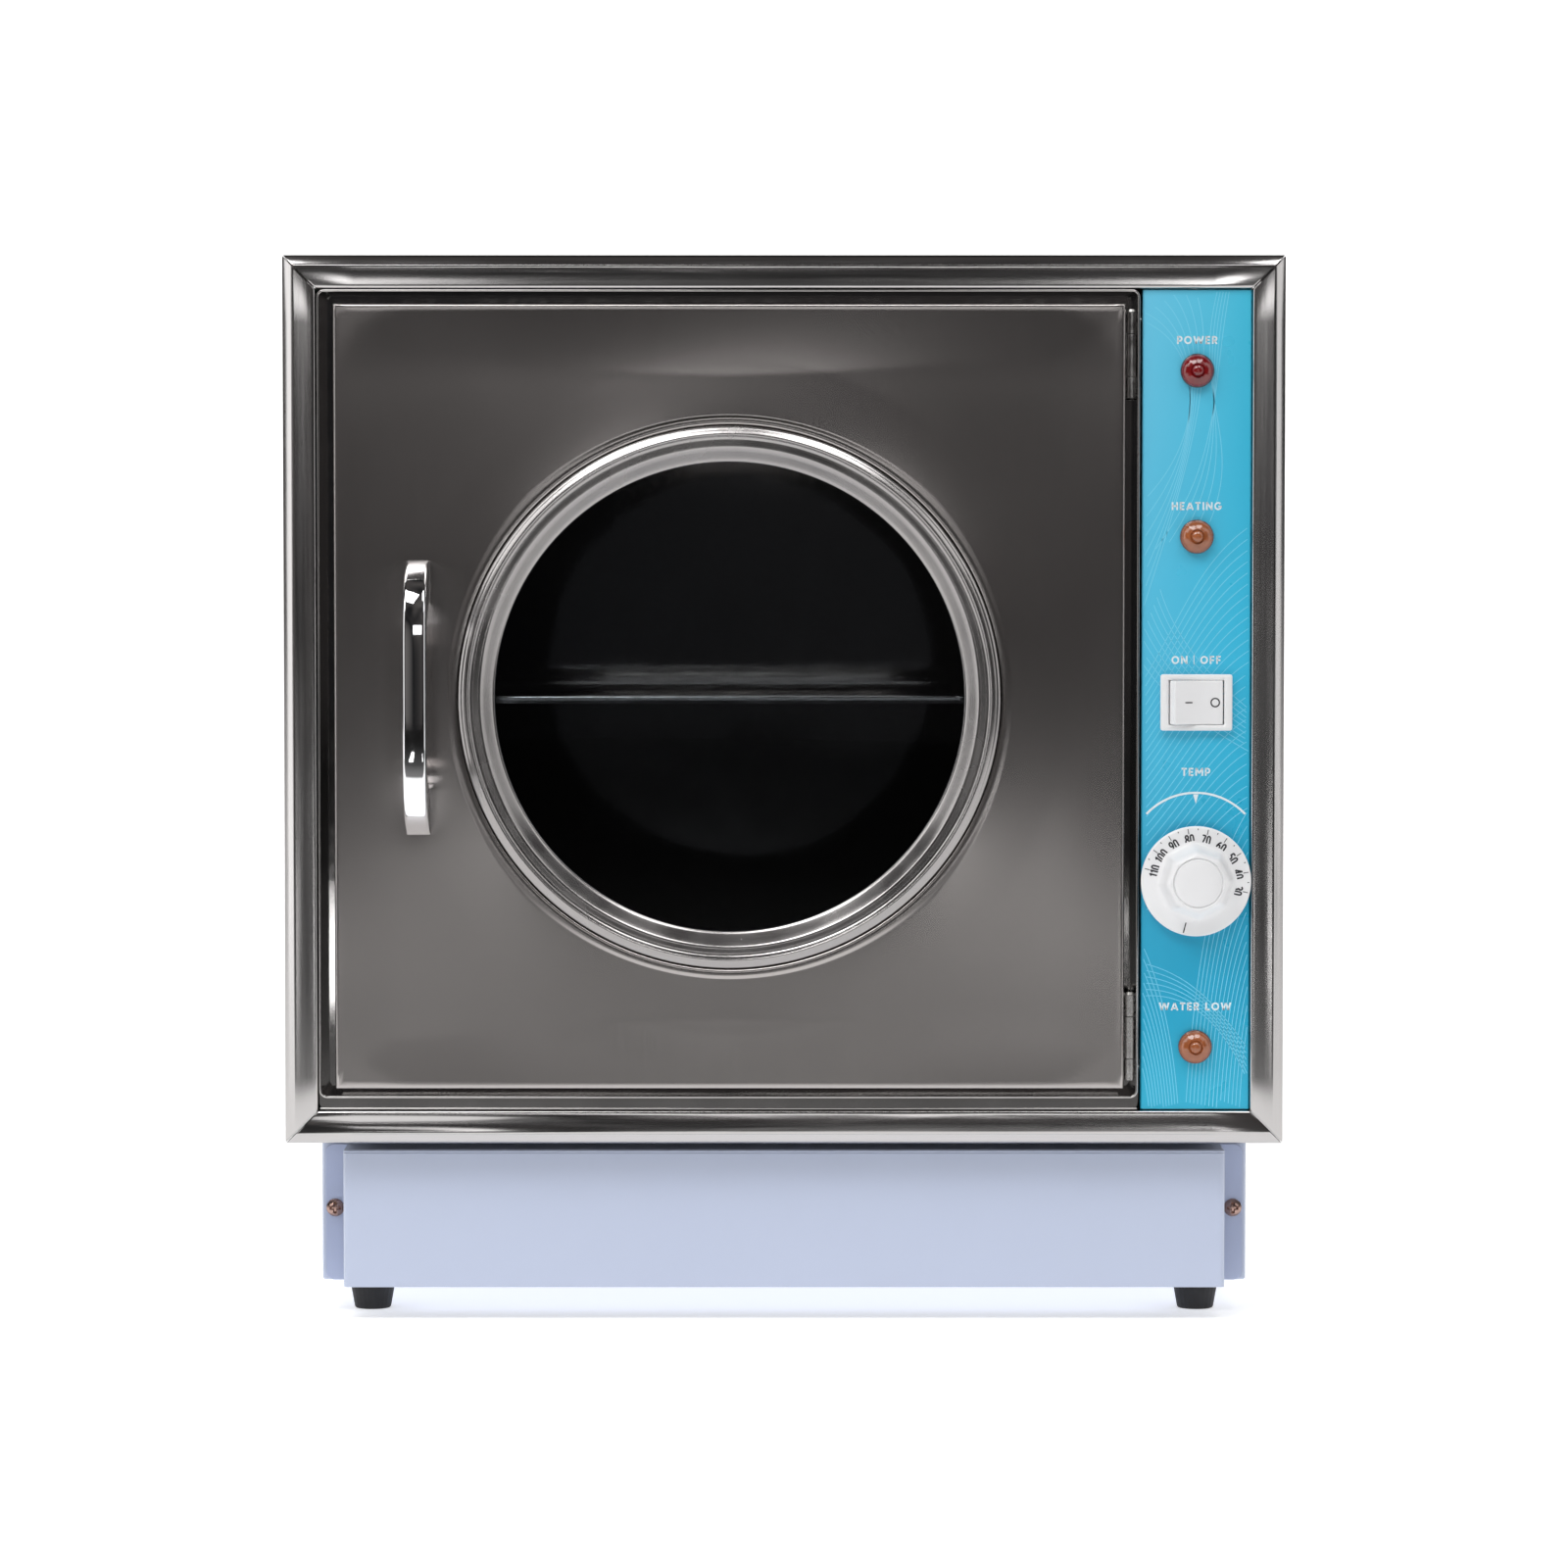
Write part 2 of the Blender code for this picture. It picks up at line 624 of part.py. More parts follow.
def window_bead():
    """The pressed ring round the window: a half-round bead, a groove, and a cone down to the glass.

    Points are (radius, depth) on the outer face, from the flat of the door inwards.
    """
    bead_radius, bead_middle = 2.75, 117.75
    points = [(123.5, 0.0)]
    for step in range(7):
        angle = math.radians(180 * step / 6)
        points.append((bead_middle + bead_radius * math.cos(angle), -0.8 * bead_radius * math.sin(angle)))
    points += [(114.2, 1.2), (113.2, 1.2), (107.0, 4.0), (105.4, 4.8), (105.0, 6.0)]
    return points


def door():
    axis = pivot("door_axis", HINGE_X, HINGE_DEPTH, DOOR_Z)
    x, z = (DOOR_LEFT, DOOR_RIGHT), (DOOR_LOW, DOOR_HIGH)
    middle = (DOOR_X, 0.0, DOOR_Z)

    skin = add("door_skin", block(x, (0, DOOR_DEPTH), z), "brushed_steel", axis, smooth=35)
    soften(skin, DOOR_EDGE_RADIUS, 2)
    hollow = block((x[0] + SHEET, x[1] - SHEET), (SHEET, DOOR_DEPTH + 10), (z[0] + SHEET, z[1] - SHEET))
    cut(skin, hollow, rod(121.5, -5, 5, middle, "depth", WINDOW_SEGMENTS))
    face = window_bead()
    back = [(124.5, SHEET * 0.9), (119.0, 0.4), (117.75, -1.2), (116.6, 0.4), (115.0, 2.2)]
    back += [(113.4, 2.3), (107.6, 5.0), (106.2, 6.0)]
    pressed = turned(face + back[::-1], middle, "depth", WINDOW_SEGMENTS)
    join(skin, pressed)
    screw_holes = [
        rod(2.4, -3, 3, (HANDLE_X, 0.5, DOOR_Z + side * HANDLE_SCREW_SPACING / 2), "depth", 12)
        for side in (-1, 1)
    ]
    cut(skin, *screw_holes)

    inner_x, inner_z = (x[0] + 1.3, x[1] - 1.3), (z[0] + 1.3, z[1] - 1.3)
    liner = add("door_liner", block(inner_x, (14.9, 15.9), inner_z), "polished_steel", axis)
    cut(liner, rod(110.4, 10, 20, middle, "depth", WINDOW_SEGMENTS))

    filler = block((x[0] + 2, x[1] - 2), (4.2, 14.5), (z[0] + 2, z[1] - 2))
    filler = add("door_insulation", filler, "insulation", axis)
    cut(filler, rod(126.0, 0, 20, middle, "depth", WINDOW_SEGMENTS))

    glass = rod(GLASS_RADIUS, GLASS_FRONT, GLASS_BACK, middle, "depth", WINDOW_SEGMENTS)
    add("window_glass", glass, "tinted_glass", axis, smooth=35)
    groove = GLASS_RADIUS + 0.4
    channel = [(107.2, 6.4), (113.8, 6.4), (113.8, 13.5), (107.2, 13.5), (107.2, GLASS_BACK + 0.3)]
    channel += [(groove, GLASS_BACK + 0.3), (groove, GLASS_FRONT - 0.3), (107.2, GLASS_FRONT - 0.3)]
    gasket = turned(channel, middle, "depth", WINDOW_SEGMENTS)
    add("window_gasket", gasket, "rubber", axis, smooth=35)
    clamp = [(107.2, 13.8), (108.4, 13.8), (108.4, 16.3), (122.0, 16.3), (123.0, 17.3), (107.2, 17.3)]
    add("window_retainer", turned(clamp, middle, "depth", WINDOW_SEGMENTS), "polished_steel", axis, smooth=35)

    seal_x, seal_z = (CHAMBER_LEFT - 7.5, CHAMBER_RIGHT + 7.5), (CHAMBER_LOW - 7.5, CHAMBER_HIGH + 7.5)
    seal = prism(rounded_rectangle(seal_x, seal_z, 8.0), 16.3, RECESS_FLOOR - 0.3, "depth")
    seal = add("door_seal", seal, "silicone", axis)
    hole = rounded_rectangle((seal_x[0] + 6, seal_x[1] - 6), (seal_z[0] + 6, seal_z[1] - 6), 4.0)
    cut(seal, prism(hole, 0, 40, "depth"))

    catch_x, catch_z = (DOOR_LEFT + 1.6, DOOR_LEFT + 7.4), (DOOR_Z - 20, DOOR_Z + 20)
    add("catch_magnet", block(catch_x, (DOOR_DEPTH + 0.4, RECESS_FLOOR - 0.3), catch_z), "black_plastic")
    return axis


def crescent(outer_half, outer_rise, inner_half, inner_rise, foot):
    """A bow's side outline as (depth, z): an outer and an inner arc standing on two flat feet."""
    outline = []
    for half, rise, way in ((outer_half, outer_rise, 1), (inner_half, inner_rise, -1)):
        radius = (half**2 + rise**2) / (2 * rise)
        reach = math.asin(half / radius)
        for step in range(15):
            angle = way * reach * (2 * step / 14 - 1)
            height = radius * math.cos(angle) - (radius - rise)
            outline.append((foot - height, radius * math.sin(angle)))
    return outline


def handle(axis):
    foot = -0.3
    shape = crescent(HANDLE_LENGTH / 2, HANDLE_REACH + foot, 41.0, 21.0, foot)
    shape = [(depth, z + DOOR_Z) for depth, z in shape]
    half = HANDLE_WIDTH / 2
    bow = add("door_handle", prism(shape, HANDLE_X - half, HANDLE_X + half, "x"), "chrome", axis, smooth=50)
    soften(bow, 1.4, 2, 60)
    for name, side in (("lower", -1), ("upper", 1)):
        centre = (HANDLE_X, 0.0, DOOR_Z + side * HANDLE_SCREW_SPACING / 2)
        cut(bow, rod(2.3, -8.3, 2, centre, "depth", 12))
        shape = [(0, -7.5), (1.9, -7.5), (1.9, 1.4), (3.6, 1.4), (3.6, 3.6), (0, 3.6)]
        add(f"handle_screw_{name}", turned(shape, centre, "depth", 12), "zinc_steel", axis, smooth=35)


def hinges(axis):
    knuckle = HINGE_LENGTH / 4
    space = 0.2
    for name, z in HINGE_CENTRES.items():
        centre = (HINGE_X, HINGE_DEPTH, z)
        plate_z = (z - HINGE_LENGTH / 2, z + HINGE_LENGTH / 2)
        plate_depth = (HINGE_DEPTH + 2.2, 14.0)
        bore = (PIN_BORE, -HINGE_LENGTH, HINGE_LENGTH, centre, "z")

        door_plate = (DOOR_RIGHT + 0.3, DOOR_RIGHT + 1.1)
        leaf = add(f"hinge_{name}_door_leaf", block(door_plate, plate_depth, plate_z), "polished_steel", axis)
        own = (z - knuckle + space, z + knuckle - space)
        join(
            leaf,
            block(door_plate, (HINGE_DEPTH, plate_depth[0] + 1), own),
            rod(KNUCKLE_RADIUS, own[0] - z, own[1] - z, centre, "z"),
        )
        cut(leaf, rod(*bore))

        frame_plate = (RECESS_RIGHT - 1.1, RECESS_RIGHT - 0.3)
        leaf = add(f"hinge_{name}_frame_leaf", block(frame_plate, plate_depth, plate_z), "polished_steel")
        for low, high in ((-2 * knuckle, -knuckle - space), (knuckle + space, 2 * knuckle)):
            join(
                leaf,
                block(frame_plate, (HINGE_DEPTH, plate_depth[0] + 1), (z + low, z + high)),
                rod(KNUCKLE_RADIUS, low, high, centre, "z"),
            )
        cut(leaf, rod(*bore))

        end = HINGE_LENGTH / 2
        pin = [(0, -end), (PIN_RADIUS, -end), (PIN_RADIUS, end + 0.3), (2.0, end + 0.3)]
        pin += [(1.6, end + 1.3), (0, end + 1.3)]
        add(f"hinge_{name}_pin", turned(pin, centre, "z", 16), "zinc_steel", smooth=35)


# Controls


def control_panel():
    t = PANEL_SHEET
    left, right, face, back = PANEL_LEFT, PANEL_RIGHT, PANEL_FACE, 14.0
    outline = [(left, back), (left, face + 0.6), (left + 0.6, face), (right - 0.6, face)]
    outline += [(right, face + 0.6), (right, back), (right - t, back), (right - t, face + t)]
    outline += [(left + t, face + t), (left + t, back)]
    span_z = (OPENING_LOW + 0.6, OPENING_HIGH - 0.6)
    panel = add("control_panel", prism(outline, *span_z, "z"), "panel_blue")
    holes = [rod(LAMP_HOLE, -20, 20, (CONTROL_X, face, z), "depth", 16) for z in LAMP_Z.values()]
    holes.append(rod(6.0, -20, 20, (CONTROL_X, face, KNOB_Z), "depth", 16))
    holes.append(block((CONTROL_X - 14.3, CONTROL_X + 14.3), (-20, 20), (SWITCH_Z - 10.9, SWITCH_Z + 10.9)))
    cut(panel, *holes)


def lamps():
    seat = PANEL_FACE - 0.3
    lens = [(0, -4.6), (1.0, -4.4), (1.7, -3.4), (2.5, -3.0), (3.4, -3.6), (5.2, -3.1), (6.7, -2.0)]
    lens += [(7.5, -0.5), (7.65, seat - 0.8), (7.4, seat), (0, seat)]
    back = PANEL_FACE + 0.1
    body = [(0, back), (4.6, back), (4.6, 5.0), (8.0, 5.0), (8.0, 8.0), (4.6, 8.0), (4.6, 28.0), (0, 28.0)]
    for name, z in LAMP_Z.items():
        centre = (CONTROL_X, 0.0, z)
        colour = "red_lens" if name == "power" else "amber_lens"
        add(f"{name}_lamp_lens", turned(lens, centre, "depth", 24), colour, smooth=40)
        add(f"{name}_lamp_body", turned(body, centre, "depth", 16), "white_plastic", smooth=35)


def rocker_switch():
    seat = PANEL_FACE - 0.3
    half_x, half_z = 12.45, 10.1
    span = [rounded_rectangle((CONTROL_X - a, CONTROL_X + a), (SWITCH_Z - b, SWITCH_Z + b), r)
            for a, b, r in ((16.0, 12.55, 1.2), (14.0, 10.6, 0.5), (half_x, half_z, 0.6))]
    housing = add("switch_housing", prism(span[0], 0.2, seat, "depth"), "white_plastic")
    join(housing, prism(span[1], seat - 0.8, 26.0, "depth"))
    for side in (-7.5, 0.0, 7.5):
        x = CONTROL_X + side
        join(housing, block((x - 0.4, x + 0.4), (25.0, 34.0), (SWITCH_Z - 2.4, SWITCH_Z + 2.4)))
    cut(housing, prism(span[2], -10, 14.0, "depth"))

    pivot_depth, end_radius, tilt = 3.0, 12.1, math.radians(9.5)
    arc = [math.radians(a) for a in (-26, -15, -5, 5, 15, 26)]
    right = [(end_radius * math.cos(a), end_radius * math.sin(a)) for a in arc]
    outline = [(0, -3.3), *right, *((-u, v) for u, v in reversed(right))]
    turn = Matrix.Rotation(tilt, 2)
    outline = [turn @ Vector(p) for p in outline]
    outline = [(CONTROL_X + p.x, pivot_depth + p.y) for p in outline]
    axis = pivot("rocker_axis", CONTROL_X, pivot_depth, SWITCH_Z)
    key = prism(outline, SWITCH_Z - 9.8, SWITCH_Z + 9.8, "z")
    soften(add("switch_rocker", key, "white_plastic", axis, smooth=35), 0.4, 1, 50)


def thermostat():
    centre = (CONTROL_X, 0.0, KNOB_Z)
    body = block((CONTROL_X - 19, CONTROL_X + 19), (6.0, 34.0), (KNOB_Z - 23, KNOB_Z + 23))
    soften(add("thermostat_body", body, "black_plastic"), 2.0, 1)

    axis = pivot("knob_axis", *centre)
    add("thermostat_spindle", rod(3.0, -10.0, 5.6, centre, "depth", 16), "zinc_steel", axis, smooth=35)
    dial = [(0, 0.5), (24.0, 0.5), (24.6, 0.0), (24.6, -0.8), (24.0, -1.4), (17.0, -2.4), (0, -2.4)]
    knob = add("temperature_knob", turned(dial, centre, "depth", 40), "white_plastic", axis, smooth=35)
    grip = bmesh.new()
    rings = []
    for radius, depth in ((15.4, -1.5), (14.6, -8.0), (13.2, -16.0)):
        angles = [math.radians(45 * k + 4) for k in range(8)]
        rings.append([grip.verts.new(at(CONTROL_X + radius * math.cos(a), depth, KNOB_Z + radius * math.sin(a)))
                      for a in angles])
    grip.faces.new(rings[0])
    grip.faces.new(rings[-1])
    for a, b in zip(rings, rings[1:]):
        for i in range(8):
            j = (i + 1) % 8
            grip.faces.new((a[i], a[j], b[j], b[i]))
    join(knob, grip)
    cut(knob, ring(9.9, 10.5, -20, -15.4, centre, "depth", 24), rod(3.3, -10.5, 10, centre, "depth", 16))

    wall = CHAMBER_RIGHT
    probe = [(0, -36), (2.6, -36), (3.0, -35), (3.0, 21), (0, 21)]
    add("sensor_probe", turned(probe, (wall, PROBE_DEPTH, PROBE_Z), "x", 12), "copper", smooth=35)
    start = (CONTROL_X, 34.4, KNOB_Z)
    stops = [start, (CONTROL_X, 50, KNOB_Z), (178, 95, 235), (168, 140, 330), (167, 175, 400)]
    stops += [(163, 195, 422), (wall + 21.4, PROBE_DEPTH, PROBE_Z)]
    tube("sensor_capillary", smooth_route(stops, 4), 1.0, "copper")


# Services


def services():
    inlet = block((INLET_X - 13.8, INLET_X + 13.8), (322.0, 352.0), (INLET_Z - 9.8, INLET_Z + 9.8))
    inlet = add("mains_inlet", inlet, "black_plastic")
    back = CASE_BACK - 0.5 + 0.3
    flange = rounded_rectangle((INLET_X - 25, INLET_X + 25), (INLET_Z - 12.5, INLET_Z + 12.5), 6.0)
    join(inlet, prism(flange, back, back + 3.2, "depth"))
    cut(inlet, block((INLET_X - 11, INLET_X + 11), (334.0, 370.0), (INLET_Z - 8, INLET_Z + 8)))
    for x, z in ((-7, -1.5), (0, 2.5), (7, -1.5)):
        x += INLET_X
        z += INLET_Z
        join(inlet, block((x - 1, x + 1), (332.0, 346.0), (z - 2.5, z + 2.5)))

    pipe = ring(3.5, 5.0, TANK_BACK - 1.2, 352.0, (DRAIN_X, 0.0, DRAIN_Z), "depth")
    add("drain_pipe", pipe, "copper", smooth=35)
    centre = (DRAIN_X, 0.0, DRAIN_Z)
    profile = [(3.5, 352.3), (9.5, 352.3), (9.5, 357), (8, 358), (8, 368), (5.6, 369), (5.6, TAP_MOUTH)]
    profile.append((3.5, TAP_MOUTH))
    body = add("drain_tap_body", turned(profile, centre, "depth", 16), "brass", smooth=35)
    stem = (DRAIN_X, TAP_DEPTH, DRAIN_Z)
    join(body, rod(7.6, -7.0, 11.0, stem, "z"))
    cut(body, rod(3.5, 350, 384, centre, "depth"), rod(5.0, -5.5, 15, stem, "z"))

    axis = pivot("tap_axis", *stem)
    lever = add("drain_tap_lever", rod(4.7, -5.2, 13.0, stem, "z"), "brass", axis)
    bar = prism(
        rounded_rectangle((DRAIN_X - 6, DRAIN_X + 32), (TAP_DEPTH - 5.5, TAP_DEPTH + 5.5), 5.0),
        DRAIN_Z + 11.4,
        DRAIN_Z + 14.4,
        "z",
    )
    join(lever, bar)
    cut(lever, rod(3.2, -10, 10, stem, "x"))


def main():
    for obj in list(bpy.data.objects):
        bpy.data.objects.remove(obj)
    frame_rails()
    outer_case()
    base_box()
    base_cover()
    feet()
    chamber()
    water_tank()
    heating_element()
    float_switch()
    shelf_and_tray()
    insulation()
    door_axis = door()
    handle(door_axis)
    hinges(door_axis)
    control_panel()
    lamps()
    rocker_switch()
    thermostat()
    services()


main()
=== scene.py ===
"""Looks for the hot towel cabinet: materials, fine shapes, lettering, a plain studio and the camera.

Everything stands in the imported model's frame, in metres, with +Z up and the front facing -Y. Lengths in
millimetres are multiplied by MM or scaled(), and places come from the CAD nodes' boxes.
"""

import math

import bmesh
import bpy
import numpy as np
from mathutils import Matrix, Vector


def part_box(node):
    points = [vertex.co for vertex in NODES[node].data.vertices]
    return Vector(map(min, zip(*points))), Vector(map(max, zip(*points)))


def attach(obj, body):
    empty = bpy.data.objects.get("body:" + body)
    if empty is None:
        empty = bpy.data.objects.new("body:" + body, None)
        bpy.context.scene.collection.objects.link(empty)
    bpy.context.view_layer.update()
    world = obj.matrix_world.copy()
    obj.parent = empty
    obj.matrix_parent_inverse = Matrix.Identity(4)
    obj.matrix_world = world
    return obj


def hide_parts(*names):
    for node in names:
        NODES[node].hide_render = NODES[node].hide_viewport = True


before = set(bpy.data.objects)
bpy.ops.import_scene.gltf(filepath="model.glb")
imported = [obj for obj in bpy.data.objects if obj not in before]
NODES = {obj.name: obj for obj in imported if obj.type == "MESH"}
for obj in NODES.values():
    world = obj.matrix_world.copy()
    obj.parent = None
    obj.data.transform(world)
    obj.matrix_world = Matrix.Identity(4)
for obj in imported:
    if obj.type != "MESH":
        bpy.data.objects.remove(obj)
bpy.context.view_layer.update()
MM = 0.001


class Span:
    """A CAD node's box: its lowest and highest corners, its centre and its size."""

    def __init__(self, node):
        self.low, self.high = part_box(node)
        self.mid = (self.low + self.high) / 2
        self.size = self.high - self.low


# Node materials


class Nodes:
    """The shader nodes of a material or a world."""

    def __init__(self, owner):
        owner.use_nodes = True
        self.tree = owner.node_tree

    def fill(self, socket, value):
        """Sets a socket to a value, or links it to a node's output."""
        if isinstance(value, bpy.types.NodeSocket):
            self.tree.links.new(value, socket)
        elif socket.type == "RGBA":
            socket.default_value = (*value, 1.0)
        else:
            socket.default_value = value

    def add(self, kind, **values):
        """Adds a node. Names in small letters are its properties, and the others its sockets."""
        node = self.tree.nodes.new("ShaderNode" + kind)
        for name, value in values.items():
            if name.islower():
                setattr(node, name, value)
            else:
                self.fill(node.inputs[name.replace("_", " ")], value)
        return node

    def remap(self, value, low, high, start=0.0, end=1.0):
        """Maps value from start..end to low..high, clamped."""
        node = self.add("MapRange", Value=value, From_Min=start, From_Max=end, To_Min=low, To_Max=high)
        return node.outputs[0]

    def maths(self, operation, a, b):
        node = self.add("Math", operation=operation)
        self.fill(node.inputs[0], a)
        self.fill(node.inputs[1], b)
        return node.outputs[0]

    def blend(self, a, b, share=0.5):
        """A value that is a by its share and b by the rest."""
        return self.maths("ADD", self.maths("MULTIPLY", a, share), self.maths("MULTIPLY", b, 1 - share))

    def mix(self, factor, a, b):
        """A colour between a and b. Each is a colour or an output."""
        node = self.add("Mix", data_type="RGBA")
        for index, value in ((0, factor), (6, a), (7, b)):
            self.fill(node.inputs[index], value)
        return node.outputs[2]

    def ramp(self, value, stops):
        node = self.add("ValToRGB", Fac=value)
        elements = node.color_ramp.elements
        while len(elements) < len(stops):
            elements.new(0.5)
        for element, (place, colour) in zip(elements, stops):
            element.position = place
            element.color = (*colour, 1.0)
        return node.outputs[0]


class Surface(Nodes):
    """A material built around its Principled shader, with textures in the object's own coordinates."""

    def __init__(self, colour, roughness, metallic=0.0, **sockets):
        self.material = bpy.data.materials.new("surface")
        super().__init__(self.material)
        self.shader = self.tree.nodes["Principled BSDF"]
        self.colour = colour
        self.set("Base Color", colour)
        self.set("Roughness", roughness)
        self.set("Metallic", metallic)
        for socket, value in sockets.items():
            self.set(socket.replace("_", " "), value)
        self.coords = self.add("TexCoord").outputs["Object"]
        self.normal = None

    def set(self, socket, value):
        """Sets one of the shader's sockets to a value, or links it to an output."""
        self.fill(self.shader.inputs[socket], value)

    def noise(self, cells, detail=3.0, distortion=0.0):
        """Noise with so many cells to the metre: one number, or one each along x, y and z."""
        scale = cells if isinstance(cells, (tuple, list)) else (cells,) * 3
        place = self.add("Mapping", Vector=self.coords, Scale=scale).outputs["Vector"]
        return self.add("TexNoise", Vector=place, Scale=1.0, Detail=detail, Distortion=distortion).outputs[0]

    def noise_1d(self, value, cells, detail=3.0):
        """Noise along one value, with so many cells to the metre."""
        return self.add("TexNoise", noise_dimensions="1D", W=value, Scale=cells, Detail=detail).outputs[0]

    def axis(self, name):
        return self.add("SeparateXYZ", Vector=self.coords).outputs[name]

    def radius(self, centre):
        """The distance from an axis that runs along y through centre."""
        x, z = (self.maths("SUBTRACT", self.axis(a), c) for a, c in (("X", centre.x), ("Z", centre.z)))
        squares = self.maths("ADD", self.maths("MULTIPLY", x, x), self.maths("MULTIPLY", z, z))
        return self.maths("SQRT", squares, 0.0)

    def rough(self, value, low, high, start=0.3, end=0.7):
        """Sets a roughness from low to high as value goes from start to end."""
        self.set("Roughness", self.remap(value, low, high, start, end))

    def bump(self, height, depth):
        """Raises the surface by height times depth, on top of any bump so far."""
        node = self.add("Bump", Strength=1.0, Distance=depth, Height=height)
        if self.normal:
            self.fill(node.inputs["Normal"], self.normal)
        self.normal = node.outputs[0]
        self.set("Normal", self.normal)

    def tint(self, factor, dark, light):
        """Varies the base colour between a darker and a lighter shade."""
        low = tuple(c * dark for c in self.colour)
        high = tuple(min(1.0, c * light) for c in self.colour)
        self.set("Base Color", self.mix(factor, low, high))


def brushed(colour, roughness, grain, warp, anisotropy, swell=(5.5, 5.5, 4.5), relief=0.0000005, vary=1.0):
    """Steel with a fine linear grain. grain and swell hold the cells to the metre along x, y and z."""
    s = Surface(colour, roughness, 1.0, Anisotropic=anisotropy)
    streaks = s.noise(grain, 3.0)
    fine = s.noise([g * 2.3 for g in grain], 2.0)
    cloud = s.noise((9, 9, 7), 3.0, 0.6)
    spread = s.blend(streaks, cloud)
    s.tint(spread, 0.9, 1.08)
    s.rough(spread, roughness - 0.03 * vary, roughness + 0.04 * vary)
    s.bump(s.noise(swell, 1.5, 0.4), warp)
    s.bump(streaks, relief)
    s.bump(fine, relief * 0.4)
    return s


def ring_steel():
    """The pressed ring's steel, darker than the door's sheet as painted shade, with faint marks that run
    round it.
    """
    s = Surface((0.36, 0.345, 0.34), 0.24, 1.0)
    marks = s.noise_1d(s.radius(Span("window_glass").mid), 2600.0, 4.0)
    cloud = s.noise(30, 3.0, 0.5)
    s.tint(s.blend(marks, cloud, 0.6), 0.84, 1.1)
    s.rough(cloud, 0.2, 0.28, 0.35, 0.65)
    s.bump(marks, 0.000003)
    return s


def polished(colour, roughness, warp=0.0004, grain=260):
    """Bright steel: slight waviness, faint rub marks and smudges."""
    s = Surface(colour, roughness, 1.0)
    smudge = s.noise((22, 22, 16), 4.0, 0.8)
    rub = s.noise(grain, 3.0)
    s.tint(smudge, 0.9, 1.06)
    s.rough(s.blend(smudge, rub), roughness * 0.6, roughness * 1.7)
    s.bump(s.noise((14, 14, 11), 2.0), warp)
    s.bump(rub, 0.000003)
    return s


def plastic(colour, roughness, texture=0.00002, cells=1400, vary=0.06, **sockets):
    """A moulded or painted surface: a fine texture, and a gloss that varies a little."""
    s = Surface(colour, roughness, 0.0, **sockets)
    grain = s.noise(cells, 2.0)
    s.tint(s.noise(14, 2.0), 0.975, 1.015)
    s.rough(s.noise(90, 3.0), roughness - vary, roughness + vary)
    s.bump(grain, texture)
    return s


def cover_paint(colour):
    """Glossy enamel."""
    return plastic(colour, 0.3, 0.000006, 900, 0.012, Coat_Weight=0.6, Coat_Roughness=0.05)


def panel_print():
    """The control strip's overlay: a cyan gradient, paler towards its upper left."""
    box = Span("control_panel")
    s = Surface((0.03, 0.48, 0.74), 0.32, 0.0)
    height = s.remap(s.axis("Z"), 0.0, 1.0, box.low.z, box.high.z)
    across = s.remap(s.axis("X"), 0.0, 1.0, box.low.x, box.high.x)
    deep = s.ramp(height, [(0.0, (0.03, 0.47, 0.70)), (0.14, (0.01, 0.37, 0.60)), (0.3, (0.01, 0.40, 0.64)),
                           (0.55, (0.03, 0.50, 0.76)), (0.8, (0.035, 0.50, 0.74)), (1.0, (0.05, 0.53, 0.75))])
    pale = (0.17, 0.62, 0.86)
    wash = s.maths("MULTIPLY", s.remap(height, 0.0, 0.85, 0.1, 1.0), s.remap(across, 1.0, 0.05, 0.0, 1.0))
    s.set("Base Color", s.mix(wash, deep, pale))
    s.rough(s.noise(60, 3.0), 0.26, 0.4)
    s.bump(s.noise(1600, 2.0), 0.000008)
    return s


def lens(colour):
    """A translucent moulded lamp lens."""
    s = Surface(colour, 0.12, 0.0, Transmission_Weight=0.2, IOR=1.49, Coat_Weight=0.6, Coat_Roughness=0.03)
    s.tint(s.noise(220, 2.0), 0.65, 1.3)
    s.rough(s.noise(300, 2.0), 0.07, 0.22)
    s.bump(s.noise(700, 2.0), 0.00002)
    return s


def glass():
    """Glass with a grey transmission colour, painted shade that darkens the chamber seen through it, and
    faint smears.
    """
    s = Surface((0.6, 0.63, 0.66), 0.01, 0.0, Transmission_Weight=1.0, IOR=1.5, Specular_IOR_Level=0.3)
    s.rough(s.noise(30, 4.0, 0.6), 0.004, 0.03, 0.35, 0.75)
    s.bump(s.noise(6, 1.0), 0.00006)
    return s


